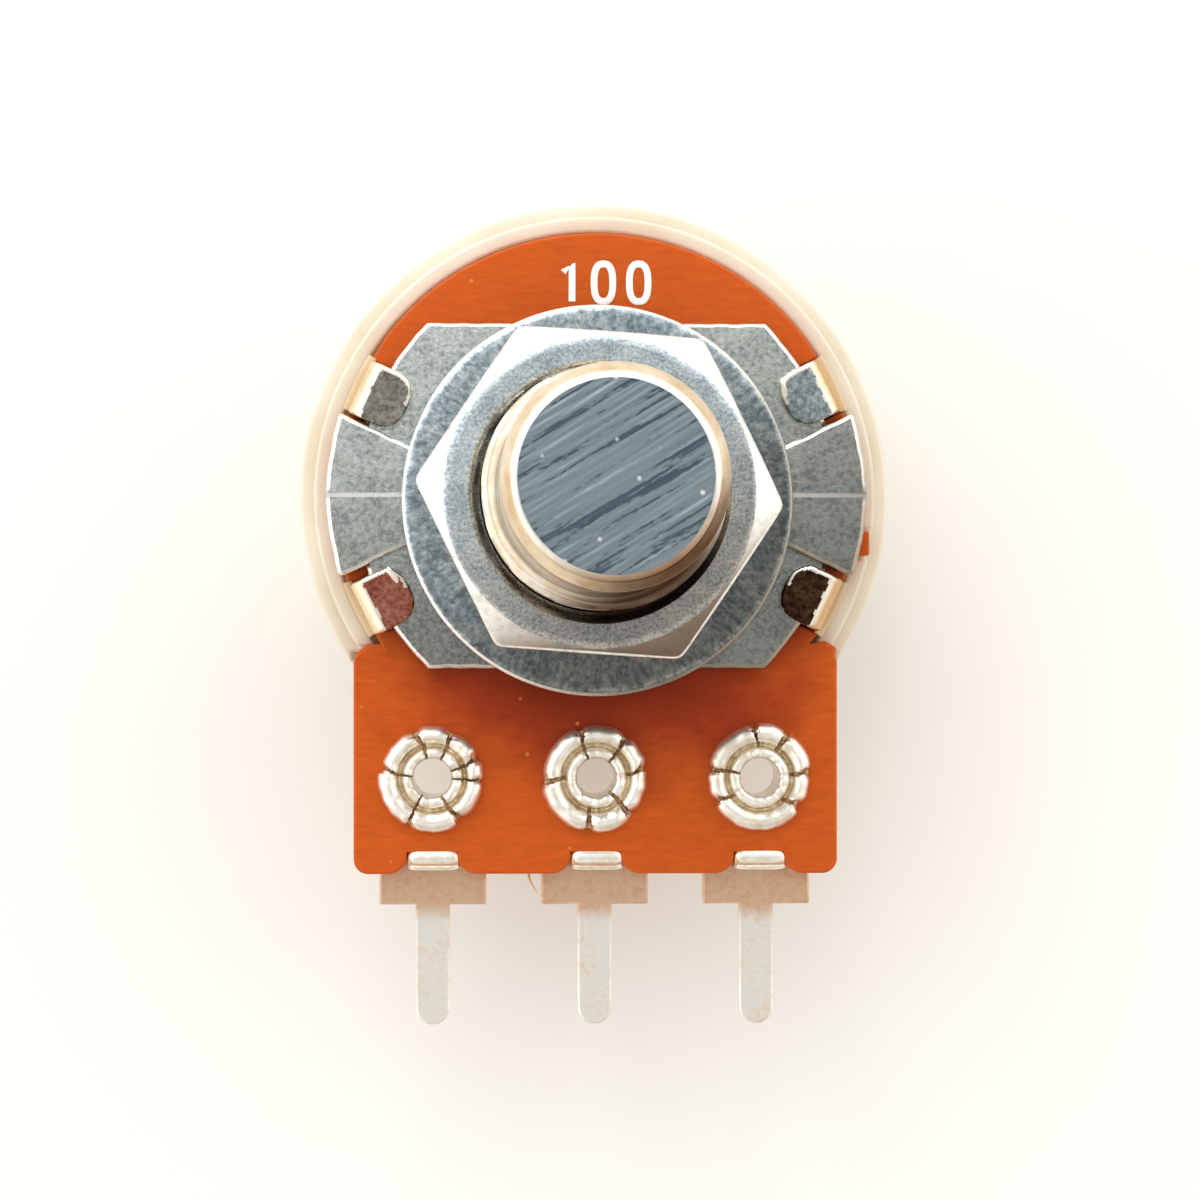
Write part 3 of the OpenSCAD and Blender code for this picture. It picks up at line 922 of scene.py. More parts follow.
@dataclass(frozen=True)
class PrintedFilm(Finish):
    """Screen-printed ink or film: flat colour with the mesh's fine unevenness."""

    colour: str = "#FBFAF7"
    metallic: float = 0.0
    roughness: float = 0.6

    def shade(self, tree: bpy.types.NodeTree, place: bpy.types.NodeSocket) -> bpy.types.Node:
        """Fine noise thins the colour a little and roughens the face.

        Args:
            tree: the material's node tree.
            place: the piece's Object coordinates.

        Returns:
            The shader node.
        """
        mesh = add_node(
            tree, "ShaderNodeTexNoise",
            {"Vector": place, "Scale": 1 / (0.08 * MM), "Detail": 3.0, "Roughness": 0.6},
        )
        shift = add_node(
            tree, "ShaderNodeMapRange",
            {
                "Value": mesh.outputs["Fac"], "From Min": 0.3, "From Max": 0.7,
                "To Min": 0.9, "To Max": 1.05,
            },
        )
        tone = add_node(
            tree, "ShaderNodeHueSaturation",
            {"Color": linear(self.colour), "Value": shift.outputs[0]},
        )
        bump = add_node(
            tree, "ShaderNodeBump",
            {"Height": mesh.outputs["Fac"], "Distance": 0.002 * MM, "Strength": 1.0},
        )
        return add_node(
            tree, "ShaderNodeBsdfPrincipled",
            {
                "Base Color": tone.outputs[0], "Metallic": self.metallic,
                "Roughness": self.roughness, "Normal": bump.outputs[0],
            },
        )


NYLON = MouldedPlastic("nylon_moulded_natural", "nylon")
# Browner nylon for the pads beside the claws: painted shade.
NYLON_PAD = MouldedPlastic(
    "nylon_painted_shade_at_claw", "nylon", colour="#E2C39D", cloud="#D6B58C", clear=0.2,
)
LAMINATE = PunchedLaminate("phenolic_paper_punched", "phenolic")
# The plate's fade is painted shade, darker towards the lower right, away from the light.
STAMPED_ZINC = PlatedMetal(
    "steel_stamped_zinc_plated", "zinc_plate", light="#D2D7D3", dark="#A2A9A8", grain=0.15,
    relief=0.009, fade=Fade("#B6B2AF", (0.35, -0.94, 0), -7.0, 5.0),
)
# Lighter finish for the plate's rounded edges and scored lines: a painted highlight; its fade is
# painted shade towards the lower right.
STAMPED_EDGE = PlatedMetal(
    "steel_sheared_edge_zinc_plated", "zinc_plate", light="#FBFBF8", dark="#E2E3DF", grain=0.15,
    relief=0.006, roughness=0.34, fade=Fade("#B8AC9F", (0.5, -0.86, 0), 1.0, 5.5),
)
# Washer finishes: each fade is painted shade towards the lower right, and the rim's lighter finish is a
# painted highlight.
WASHER_ZINC = PlatedMetal(
    "steel_washer_zinc_plated", "zinc_plate", light="#A4B0B6", dark="#74828B", fleck="#DDE3E4",
    grain=0.13, lay=Lay.RADIAL, stretch=1.6, relief=0.008, centre=(0, -0.18, 0),
    fade=Fade("#B1AAA2", (0.6, -0.8, 0), -3.0, 4.5),
)
WASHER_RIM = PlatedMetal(
    "steel_washer_rim_zinc_plated", "zinc_plate", light="#F6F6F2", dark="#DCDCD6", grain=0.15,
    relief=0.004, roughness=0.32, fade=Fade("#AAA6A1", (0.85, -0.5, 0), 0.0, 4.5),
)
# Nut finishes: each fade is painted shade towards the lower right; the chamfer's and the edges' lighter
# finishes are painted highlight.
NUT_ZINC = PlatedMetal(
    "steel_nut_zinc_plated", "zinc_plate", light="#C8D3DA", dark="#98A6AD", fleck="#F2F5F5",
    grain=0.1, relief=0.009, fade=Fade("#D6C8BC", (0.45, -0.89, 0), -2.5, 5.0),
)
NUT_CHAMFER = PlatedMetal(
    "steel_nut_chamfer_zinc_plated", "zinc_plate", light="#F2F2EE", dark="#DADAD4", grain=0.2,
    relief=0.004, roughness=0.3, fade=Fade("#9C8D82", (0.35, -0.94, 0), 2.0, 4.6),
)
# Lighter finish for the nut's top edges and flanks: a painted highlight.
BRIGHT_EDGE = PlatedMetal(
    "steel_turned_edge_zinc_plated", "zinc_plate", light="#F2F2EE", dark="#D2D2CC", grain=0.2,
    relief=0.004, roughness=0.3,
)
# The bushing's fade is painted shade and painted reflection: brown towards the lower right.
BUSHING_BRASS = PlatedMetal(
    "brass_turned_nickel_plated", "turned_bushing", light="#EADBC6", dark="#D8C4AA",
    grain=0.08, lay=Lay.TURNED, stretch=30.0, roughness=0.24, relief=0.002,
    fade=Fade("#5C4A3D", (0.45, -0.89, 0), 1.6, 3.2),
)
# Shaft finishes: each fade is painted shade and painted reflection, brown towards the lower right; the
# rim's lighter finish is a painted highlight.
SHAFT_SIDE = PlatedMetal(
    "aluminium_turned_bar", "turned_shaft", light="#E4D0B4", dark="#D2B894", fleck="#F4E8D6",
    grain=0.09, lay=Lay.TURNED, stretch=40.0, roughness=0.24, relief=0.002,
    fade=Fade("#6C5443", (0.6, -0.8, 0), 1.0, 2.9),
)
SHAFT_RIM = PlatedMetal(
    "aluminium_turned_rim", "turned_shaft", light="#FBF8F2", dark="#EBE5DB", fleck="#FFFFFF",
    grain=0.12, lay=Lay.TURNED, stretch=12.0, roughness=0.25, relief=0.002,
    fade=Fade("#B3947A", (0.4, -0.92, 0), 0.6, 2.9),
)
SHAFT_END = SawnEnd("aluminium_saw_cut", "turned_shaft")
TIN_COVER = PlatedMetal(
    "steel_drawn_tinned", "tinned_steel", light="#F8F1E3", dark="#EEE4D2", fleck="#FFFBF2",
    grain=0.3, roughness=0.3, relief=0.003,
)
# The terminals' fade is painted shade: warmer and darker towards the board.
TERMINAL_TIN = PlatedMetal(
    "brass_blanked_tinned", "tinned_brass", light="#F4EDE4", dark="#E9DDD0", grain=0.2,
    roughness=0.45, relief=0.002, fade=Fade("#EAC9AF", (0, 1, 0), -13.2, -12.5),
)
EYELET_TIN = PlatedMetal(
    "brass_rolled_bright_tinned", "bright_tin", light="#FBF6EC", dark="#EDE3D2", fleck="#FFFFFF",
    grain=0.25, roughness=0.4, relief=0.006,
)
# Darker tin in the valley between the rolls: painted shade and painted reflection of the board, with
# some flux residue.
EYELET_VALLEY = PlatedMetal(
    "brass_rolled_valley_flux_and_painted_shade", "bright_tin", light="#E3D2B6", dark="#BBA381", fleck="#F4E9D6",
    grain=0.12, roughness=0.42, relief=0.005,
)
# Darker still in the splits: painted shade.
EYELET_SPLIT = PlatedMetal(
    "brass_split_painted_shade", "bright_tin", light="#C4A886", dark="#94785A", fleck="#D8C4A6",
    grain=0.1, roughness=0.5, relief=0.006,
)
SPRING_STEEL = PlatedMetal(
    "steel_spring_oiled", "spring_steel", light="#6A6A6C", dark="#3B3B3D", fleck="#8C8C8E",
    roughness=0.35,
)
BRONZE = PlatedMetal(
    "phosphor_bronze_rolled", "phosphor_bronze", light="#D9A873", dark="#A97B4B", fleck="#F0CFA0",
    roughness=0.25,
)
CARBON = PrintedFilm("carbon_screen_printed", "carbon_film", colour="#1B1B1C", roughness=0.45)
SILVER = PrintedFilm(
    "silver_screen_printed", "silver_film", colour="#C9C8C2", metallic=0.8, roughness=0.4,
)
WHITE_INK = PrintedFilm("epoxy_ink_white", "phenolic")
FIBRE = PrintedFilm("paper_fibre_resin_soaked", "phenolic", colour="#D9A24A")


# ---- sub-assemblies ----


@dataclass
class Studio:
    """Pale floor, soft light and the camera.

    The camera looks down the shaft from a hand's breadth above, a little left of its axis.
    """

    eye: tuple[float, float, float] = (-3.39, -3.33, 109.8)
    aim: tuple[float, float, float] = (115.0, 5.0, -3356.0)
    lens: float = 100.68
    sensor: float = 36.0
    floor_side: float = 3000.0
    key: float = 0.16
    key_size: float = 200.0
    key_place: tuple[float, float, float] = (-80.0, 190.0, 200.0)
    windows: tuple[float, float, float] = (-0.25, 0.968, 0.0)
    walls: tuple[Stop, ...] = (
        (0.0, (0.46, 0.39, 0.33, 1)), (0.22, (0.92, 0.84, 0.75, 1)),
        (0.42, (1.62, 1.57, 1.48, 1)), (1.0, (1.72, 1.73, 1.70, 1)),
    )
    ceiling: tuple[Stop, ...] = (
        (0.28, (0.95, 0.92, 0.88, 1)), (0.40, (0.75, 0.72, 0.68, 1)), (0.465, (0.22, 0.21, 0.20, 1)),
        (0.5, (0.50, 0.51, 0.51, 1)), (0.56, (0.88, 0.92, 0.92, 1)), (0.64, (0.98, 1.02, 1.02, 1)),
    )

    def camera(self) -> None:
        """Set the camera up with its right along +X and its top along +Y."""
        data = bpy.data.cameras.new("camera")
        data.sensor_width = self.sensor
        data.lens = self.lens
        data.clip_start = 1 * MM
        data.clip_end = 10.0
        forward = Vector(self.aim).normalized()
        right = forward.cross(Vector((0, 1, 0))).normalized()
        up = right.cross(forward)
        turn = Matrix((right, up, -forward)).transposed().to_4x4()
        camera = bpy.data.objects.new("camera", data)
        camera.matrix_world = Matrix.Translation(Vector(self.eye) * MM) @ turn
        bpy.context.scene.collection.objects.link(camera)
        bpy.context.scene.camera = camera

    def floor(self) -> None:
        """A broad pale sheet under the rear face."""
        half = self.floor_side / 2
        side = np.array([-half, half])
        x, y = np.meshgrid(side, side)
        points = np.stack([x, y, np.full_like(x, -0.01)], -1)
        mesh = bpy.data.meshes.new("floor")
        mesh.from_pydata((points.reshape(-1, 3) * MM).tolist(), [], [(0, 1, 3, 2)])
        material = bpy.data.materials.new("paper_matte_pale")
        material.use_nodes = True
        shader = material.node_tree.nodes["Principled BSDF"]
        shader.inputs["Base Color"].default_value = linear("#F7F5F2")
        shader.inputs["Roughness"].default_value = 0.9
        shader.inputs["Specular IOR Level"].default_value = 0.1
        mesh.materials.append(material)
        floor = bpy.data.objects.new("floor", mesh)
        bpy.context.scene.collection.objects.link(floor)

    def sky(self) -> None:
        """Room light: grey overhead, bright round the horizon, brightest beyond the top left.

        A direction's share of the bright side is its dot product with the way to the windows.
        One ramp of that share colours the ring of walls and another the ceiling, and height
        above the horizon blends from the first to the second.
        """
        world = bpy.data.worlds.new("room")
        bpy.context.scene.world = world
        world.use_nodes = True
        tree = world.node_tree
        tree.nodes.clear()
        way = add_node(tree, "ShaderNodeTexCoord").outputs["Generated"]
        height = add_node(tree, "ShaderNodeSeparateXYZ", {0: way}).outputs[2]
        toward = add_node(
            tree, "ShaderNodeVectorMath", {0: way, 1: self.windows}, operation="DOT_PRODUCT",
        ).outputs["Value"]
        share = add_node(
            tree, "ShaderNodeMapRange",
            {"Value": toward, "From Min": -1.0, "From Max": 1.0, "To Min": 0.0, "To Max": 1.0},
        ).outputs[0]
        walls = add_node(tree, "ShaderNodeValToRGB", {0: share}, stops=list(self.walls)).outputs[0]
        ceiling = add_node(tree, "ShaderNodeValToRGB", {0: share}, stops=list(self.ceiling)).outputs[0]
        overhead = add_node(
            tree, "ShaderNodeMapRange",
            {"Value": height, "From Min": 0.58, "From Max": 0.86, "To Min": 0.0, "To Max": 1.0},
            interpolation_type="SMOOTHSTEP",
        ).outputs[0]
        colour = add_node(
            tree, "ShaderNodeMix", {0: overhead, 6: walls, 7: ceiling}, data_type="RGBA",
        ).outputs[2]
        light = add_node(tree, "ShaderNodeBackground", {"Color": colour, "Strength": 1.0})
        add_node(tree, "ShaderNodeOutputWorld", {"Surface": light.outputs[0]})

    def lamps(self) -> None:
        """One large soft lamp beyond the top left."""
        data = bpy.data.lights.new("key", "AREA")
        data.shape = "DISK"
        data.size = self.key_size * MM
        data.energy = self.key
        data.color = (1.0, 0.985, 0.965)
        lamp = bpy.data.objects.new("key", data)
        place = Vector(self.key_place) * MM
        lamp.location = place
        lamp.rotation_mode = "QUATERNION"
        lamp.rotation_quaternion = (-place).to_track_quat("-Z", "Y")
        bpy.context.scene.collection.objects.link(lamp)

    def build(self) -> None:
        """Put everything that isn't the part in place."""
        bpy.context.scene.view_settings.view_transform = "Standard"
        self.camera()
        self.floor()
        self.sky()
        self.lamps()
        log.info("studio")


@dataclass(frozen=True)
class ClawWear:
    """How one claw differs from the others: its tarnish, its lean and the burr at its tip.

    The burr stands on the side that its sign names, burr_at degrees round the tip. A torn tip
    has lost its tarnish where the burr is.
    """

    name: str
    angle: float
    tarnish: str
    shade: str
    glint: str
    lean: float
    burr_side: int
    burr_at: float
    burr: float
    tip_torn: bool


@dataclass
class RearCover:
    """Drawn steel cup whose four claws stand up through the board and fold over the plate."""

    claw_width: float = 1.75
    sheet: float = 0.4
    press: float = 0.7
    top: float = 4.6
    bend: float = 0.5
    reach: float = 1.6
    tip: float = 0.8
    power: float = 2.4
    edge: float = 0.13
    # Widths of the bright tin rim on a claw's upper side and on its lower side: a painted highlight,
    # kept to the side towards the light.
    rim: tuple[float, float] = (0.16, 0.0)
    bright_fold: float = 0.36
    sprung: float = 0.07
    spring_start: float = 0.6
    columns: int = 73
    ragged: float = 0.014
    uneven: float = 0.03
    burr_spread: float = 0.16
    burr_lift: float = 0.8
    burr_bare: float = 0.35
    tip_left: float = 0.004
    # Painted reflection of the nylon on the claws' outer side, browner on the right-hand claws as
    # painted shade.
    reflection_right: str = "#D6B382"
    reflection_left: str = "#F3E6D0"
    reflection_insets: tuple[float, float] = (0.32, 0.05)
    wear: tuple[ClawWear, ...] = (
        ClawWear("top_right", CLAW_ANGLES[0], "#8E999E", "#6B767C", "#C6CDCE", 1.5, 1, 50, 0.10, True),
        ClawWear("top_left", CLAW_ANGLES[1], "#878279", "#625D56", "#A6A29A", 0.5, 1, 46, 0.03, False),
        ClawWear(
            "bottom_left", CLAW_ANGLES[2], "#A05C4A", "#7A3F31", "#B98474", -1.0, -1, 40, 0.12, True,
        ),
        ClawWear(
            "bottom_right", CLAW_ANGLES[3], "#3A271A", "#20140D", "#5A4534", -2.0, 1, 20, 0.03, False,
        ),
    )

    def __post_init__(self) -> None:
        """Take the cover's radius and the claws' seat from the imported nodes."""
        high = node_box("rear_cover")[1]
        self.outer = high[0]
        self.seat = high[2] - self.sheet / 2

    def shell(self) -> None:
        """Cup: a section turned round the axis, without the claws.

        The profile runs up the inside, over the rim, down the outside, round the pressed
        edge, which is a quarter circle, and across the flat rear face.
        """
        outer, top = self.outer, self.top
        inner = outer - self.sheet
        turn = np.linspace(0, math.pi / 2, 10)
        press = [
            (outer - self.press + self.press * math.cos(a), self.press - self.press * math.sin(a))
            for a in turn
        ]
        inside = [
            (0.0, self.sheet), (inner - 0.3, self.sheet), (inner - 0.09, self.sheet + 0.09),
            (inner, self.sheet + 0.3), (inner, top),
        ]
        profile = np.array([*inside, (outer - 0.1, top), (outer, top - 0.1), *press, (0.0, 0.0)])
        mesh = build_mesh("rear_cover_shell", [Patch(revolve(profile, 192))])
        add_piece(mesh, [TIN_COVER], "body", ("rear_cover",), sharp=30)

    def middle_line(self) -> tuple[np.ndarray, np.ndarray]:
        """Middle of a claw's sheet from its foot to its tip: straight, a quarter circle, straight.

        Returns:
            Distance out and height of each point, and how far the point is past the tip's
            start as a share of the tip's length, which is below nought up to the fold's end.
        """
        half_t = self.sheet / 2
        arm = self.bend - half_t
        leg_z = np.linspace(self.top + 0.1, self.seat - arm, 5)
        leg = np.stack([np.full_like(leg_z, self.outer - half_t), leg_z], -1)
        turn = np.linspace(0, math.pi / 2, 16)[1:]
        fold = np.stack([
            self.outer - self.bend + arm * np.cos(turn), self.seat - arm + arm * np.sin(turn),
        ], -1)
        start = self.outer - self.reach + self.tip
        past = np.sin(np.linspace(0, math.pi / 2, 45)[:-1])
        lead = np.linspace(self.outer - self.bend, start, 13)[1:-1]
        flat_x = np.concatenate([lead, start - self.tip * past])
        flat = np.stack([flat_x, np.full_like(flat_x, self.seat)], -1)
        past = np.concatenate([np.zeros(len(lead)), past])
        path = np.vstack([leg, fold, flat])
        path[:, 0] += self.sprung * np.clip(path[:, 1] - self.top + self.spring_start, 0, 1)
        return path, np.concatenate([np.full(len(leg) + len(fold), -1.0), past])

    def claw(self, wear: ClawWear) -> None:
        """One claw: a flat ribbon carried up, round its fold and in to its blunt tip.

        With u the share of the tip's length, the half width is w (1 - u^p)^(1/p). Across
        the ribbon the top drops by a quarter circle within one edge of each side, and a
        bell curve of u lifts and widens the corner where the shears left a burr.

        Args:
            wear: how this claw differs from the others.
        """
        path, past = self.middle_line()
        share = np.maximum(past, 0)[:, None]
        step = np.gradient(path, axis=0)
        step /= np.linalg.norm(step, axis=1, keepdims=True)
        normal = np.stack([step[:, 1], -step[:, 0]], -1)
        across = np.sin(np.linspace(math.pi / 2, -math.pi / 2, self.columns))[None, :]
        from_burr = (share - math.sin(math.radians(wear.burr_at))) / self.burr_spread
        bell = np.exp(-(from_burr**2)) * (share > 0)
        corner = wear.burr * bell * np.clip(across * wear.burr_side, 0, 1) ** 2
        ragged = self.ragged * ripple(share * 9 + across, 9, int(wear.angle))
        narrow = (1 - share**self.power) ** (1 / self.power)
        half = (self.claw_width / 2 + ragged * (share > 0)) * narrow + corner
        left = self.tip * (1 - share) + self.tip_left
        blunt = 1 - np.sqrt(np.clip(1 - np.clip(1 - left / self.edge, 0, 1) ** 2, 0, 1))
        away = np.clip(1 - half * (1 - np.abs(across)) / self.edge, 0, 1)
        drop = self.edge * np.maximum(1 - np.sqrt(1 - away**2), blunt)
        top = self.sheet / 2 - drop + self.burr_lift * corner
        under = -self.sheet / 2 + np.minimum(drop, 0.5 * self.sheet)[:, ::-1]
        wide = np.concatenate([half * across, (half * across)[:, ::-1]], 1)
        through = np.concatenate([top, under], 1)
        x = path[:, :1] + normal[:, :1] * through
        z = path[:, 1:] + normal[:, 1:] * through
        inward = np.maximum(self.outer - self.bend - x, 0)
        z = z + inward * math.tan(math.radians(wear.lean)) * wide / (self.claw_width / 2)
        angle = math.radians(wear.angle)
        points = np.stack([*from_claw(x, wide, angle), z], -1)
        # The bright tin rim along the upper side and the tip is a painted highlight; a torn burr shows
        # its tin for real.
        upper = math.copysign(1, math.cos(angle))
        rim_ripple = self.uneven * ripple(7 * share + 3 * across, 7, 5)
        rim = np.where(across * upper > 0, *self.rim) + rim_ripple
        lit_rim_and_torn = half * (1 - np.abs(across)) < rim
        lit_rim_and_torn |= left < rim
        lit_rim_and_torn |= (bell * np.clip(across * wear.burr_side, 0, 1) > self.burr_bare) & wear.tip_torn
        paint = np.zeros(points.shape[:2], int)
        worn_line = self.bright_fold + self.uneven * ripple(1.5 * across + angle, 9, 8)
        folded = self.outer - path[:, :1] > worn_line
        paint[:, : across.size] = folded & ~lit_rim_and_torn
        patch = Patch(points, capped=True, slot=paint[:-1])
        finishes = self.claw_finishes(wear)
        add_piece(build_mesh("claw_" + wear.name, [patch]), finishes, "body", sharp=50)

    def claw_finishes(self, wear: ClawWear) -> list[Finish]:
        """A claw's own tin, yellowed towards its outer side by a painted reflection of the nylon, and
        its face, dark with tarnish.

        Args:
            wear: how this claw differs from the others.

        Returns:
            The tin and the face.
        """
        angle = math.radians(wear.angle)
        way = (math.cos(angle), math.sin(angle), 0)
        start, end = (self.outer - inset for inset in self.reflection_insets)
        reflected_tint = self.reflection_right if math.cos(angle) > 0 else self.reflection_left
        tin = replace(
            TIN_COVER, name="steel_claw_tinned_" + wear.name, fade=Fade(reflected_tint, way, start, end),
        )
        face = PlatedMetal(
            "steel_claw_tarnished_" + wear.name, "tinned_steel", light=wear.tarnish, dark=wear.shade,
            fleck=wear.glint, grain=0.14, roughness=0.36,
        )
        return [tin, face]

    def build(self) -> None:
        """Build the cup and its claws."""
        self.shell()
        for wear in self.wear:
            self.claw(wear)


@dataclass
class BoardSet:
    """Housing, resistor board with its marking, and the fibre that punching left; the board's films are
    dressed apart.
    """

    digits: str = "100"
    digit_height: float = 1.36
    digit_width: float = 0.78
    digit_pitch: float = 1.08
    stroke: float = 0.21
    ink: float = 0.02
    middle: tuple[float, float] = (0.23, 6.53)
    pad_inner: float = 7.88
    pad_outer: float = 8.16
    pad_top: float = 7.25
    pad_half: float = 6.4
    claw_notch_out: float = 7.1
    claw_notch_half: float = 1.25
    claw_play: float = 0.16
    lug_notch_half: float = 1.3
    lug_notch_deep: float = 0.95
    lug_notch_mouth: float = 0.4
    lug_notch_end: float = 0.7
    lug_play: float = 0.08
    lug_end_play: float = 0.13
    shoulder: float = -4.65
    shoulder_inner: float = 6.4
    shoulder_outer: float = 7.2
    shoulder_lift: float = 0.16

    def glyph(self, digit: str) -> list[np.ndarray]:
        """Centre lines of a digit, in a box one digit wide and high about its middle.

        A nought is the superellipse of power 2.6; a one is a stem with a short flag.

        Args:
            digit: the digit.

        Returns:
            Its strokes, each a row of points.
        """
        half_w = (self.digit_width - self.stroke) / 2
        half_h = (self.digit_height - self.stroke) / 2
        if digit == "1":
            return [np.array([(-0.5 * half_w, 0.55 * half_h), (0.12, half_h), (0.12, -half_h)])]
        turn = np.linspace(0, TURN, 65)
        power = 2 / 2.6
        x = half_w * np.sign(np.cos(turn)) * np.abs(np.cos(turn)) ** power
        y = half_h * np.sign(np.sin(turn)) * np.abs(np.sin(turn)) ** power
        return [np.stack([x, y], -1)]

    def ribbon(self, line: np.ndarray, base: float) -> Patch:
        """Low ridge of ink along a line: at each point a flat half ellipse across it.

        Args:
            line: the centre line.
            base: height of the face that carries the ink.

        Returns:
            The ridge as a patch.
        """
        step = np.gradient(line, axis=0)
        looped = np.allclose(line[0], line[-1])
        if looped:
            step[[0, -1]] = line[1] - line[-2]
        step /= np.linalg.norm(step, axis=1, keepdims=True)
        normal = np.stack([-step[:, 1], step[:, 0]], -1)
        bow = np.linspace(0, TURN, 13)[:-1]
        across = self.stroke / 2 * np.sign(np.cos(bow)) * np.abs(np.cos(bow)) ** 0.4
        rise = self.ink / 2 * (1 + np.sin(bow))
        flat = line[:, None, :] + normal[:, None, :] * across[None, :, None]
        z = np.broadcast_to(base + rise, flat.shape[:2])
        return Patch(np.concatenate([flat, z[..., None]], -1), capped=not looped)

    def marking(self) -> None:
        """Plain digits printed in white above the plate."""
        base = node_box("resistor_board")[1][2] - 0.002
        patches = []
        for place, digit in enumerate(self.digits):
            shift = (place - (len(self.digits) - 1) / 2) * self.digit_pitch
            for line in self.glyph(digit):
                patches.append(self.ribbon(line + np.array(self.middle) + (shift, 0), base))
        add_piece(build_mesh("board_digits", patches), [WHITE_INK], "body")

    def pinch(self, board: bpy.types.Mesh) -> None:
        """Draw the board's notches in to what stands in them, and lift its shoulders.

        In a claw's notch the distance across from the claw's middle line shrinks by the play
        there; in a lug's notch x shrinks the same way, and the notch's end comes to the lug.
        Between its inner and its outer x, the edge at the shoulder's y moves up.

        Args:
            board: the board's mesh, which is changed.
        """
        places = points_of(board)
        x, y = places[:, :2].T.copy()
        for nominal, actual in zip(PUNCHED_ANGLES, CLAW_ANGLES):
            angle = math.radians(nominal)
            out, across = along_claw(x, y, angle)
            shift = out * math.radians(actual - nominal)
            near = (out > self.claw_notch_out) & (np.abs(across) < self.claw_notch_half)
            moved = np.where(near, across - self.claw_play * np.sign(across) + shift, across)
            x, y = from_claw(out, moved, angle)
        tail = y.min()
        for place in (-1, 0, 1):
            side = x - place * TERMINAL_PITCH - LUG_SHIFT
            near = (np.abs(side) < self.lug_notch_half) & (y < tail + self.lug_notch_deep)
            share = np.clip((y - tail) / self.lug_notch_mouth, 0, 1)
            x = np.where(near, x - self.lug_play * share * np.sign(side), x)
            y = np.where(near & (y > tail + self.lug_notch_end), y - self.lug_end_play, y)
        level = np.clip((self.shoulder + 0.35 - y) / 0.05, 0, 1) * (y > self.shoulder - 0.05)
        inside = np.clip((self.shoulder_outer - np.abs(x)) / 0.4, 0, 1)
        inside = inside * (np.abs(x) > self.shoulder_inner)
        places[:, 0], places[:, 1] = x, y + self.shoulder_lift * level * inside
        move_points(board, places)

    def pads(self) -> None:
        """Nylon behind each claw: a rounded section swept along a short arc of the rim."""
        low = node_box("resistor_board")[0][2] - 0.1
        section = eased([
            (self.pad_outer, low), (self.pad_outer, self.pad_top), (self.pad_inner, self.pad_top),
            (self.pad_inner, low), (self.pad_outer, low),
        ], 0.08)[:-1]
        steps = 13
        patches = []
        for middle in PUNCHED_ANGLES:
            angle = np.radians(middle + np.linspace(-self.pad_half, self.pad_half, steps))[:, None]
            radius = section[:, 0]
            z = np.broadcast_to(section[:, 1], (steps, len(section)))
            points = np.stack([radius * np.cos(angle), radius * np.sin(angle), z], -1)
            patches.append(Patch(points, capped=True))
        # The pads wear the browner nylon: painted shade beside the claws.
        add_piece(build_mesh("housing_claw_pads", patches), [NYLON_PAD], "body")

    def fibre(self) -> None:
        """A torn paper fibre at the tail's edge: a thin tapering hair along a smooth curve."""
        tail = node_box("resistor_board")[0][1]
        curve = rounded([
            (-2.06, tail + 0.1), (-2.02, tail - 0.2), (-1.9, tail - 0.45), (-1.78, tail - 0.66),
        ], 6)
        share = np.linspace(0, 1, len(curve))
        radius = 0.045 * (1 - 0.8 * share)
        bow = np.linspace(0, TURN, 9)[:-1]
        x = curve[:, 0][:, None] + radius[:, None] * np.cos(bow)
        y = np.broadcast_to(curve[:, 1][:, None], x.shape)
        z = 6.6 - 0.25 * share[:, None] + radius[:, None] * np.sin(bow)
        mesh = build_mesh("board_fibre", [Patch(np.stack([x, y, z], -1), capped=True)])
        add_piece(mesh, [FIBRE], "body")

    def build(self) -> None:
        """Round the punched and moulded edges, then print the marking."""
        add_piece(soften("housing", "housing_moulded", 0.1, 3), [NYLON], "body", ("housing",))
        board = soften("resistor_board", "resistor_board_punched", 0.07, 2)
        self.pinch(board)
        add_piece(board, [LAMINATE], "body", ("resistor_board",))
        self.pads()
        self.marking()
        self.fibre()


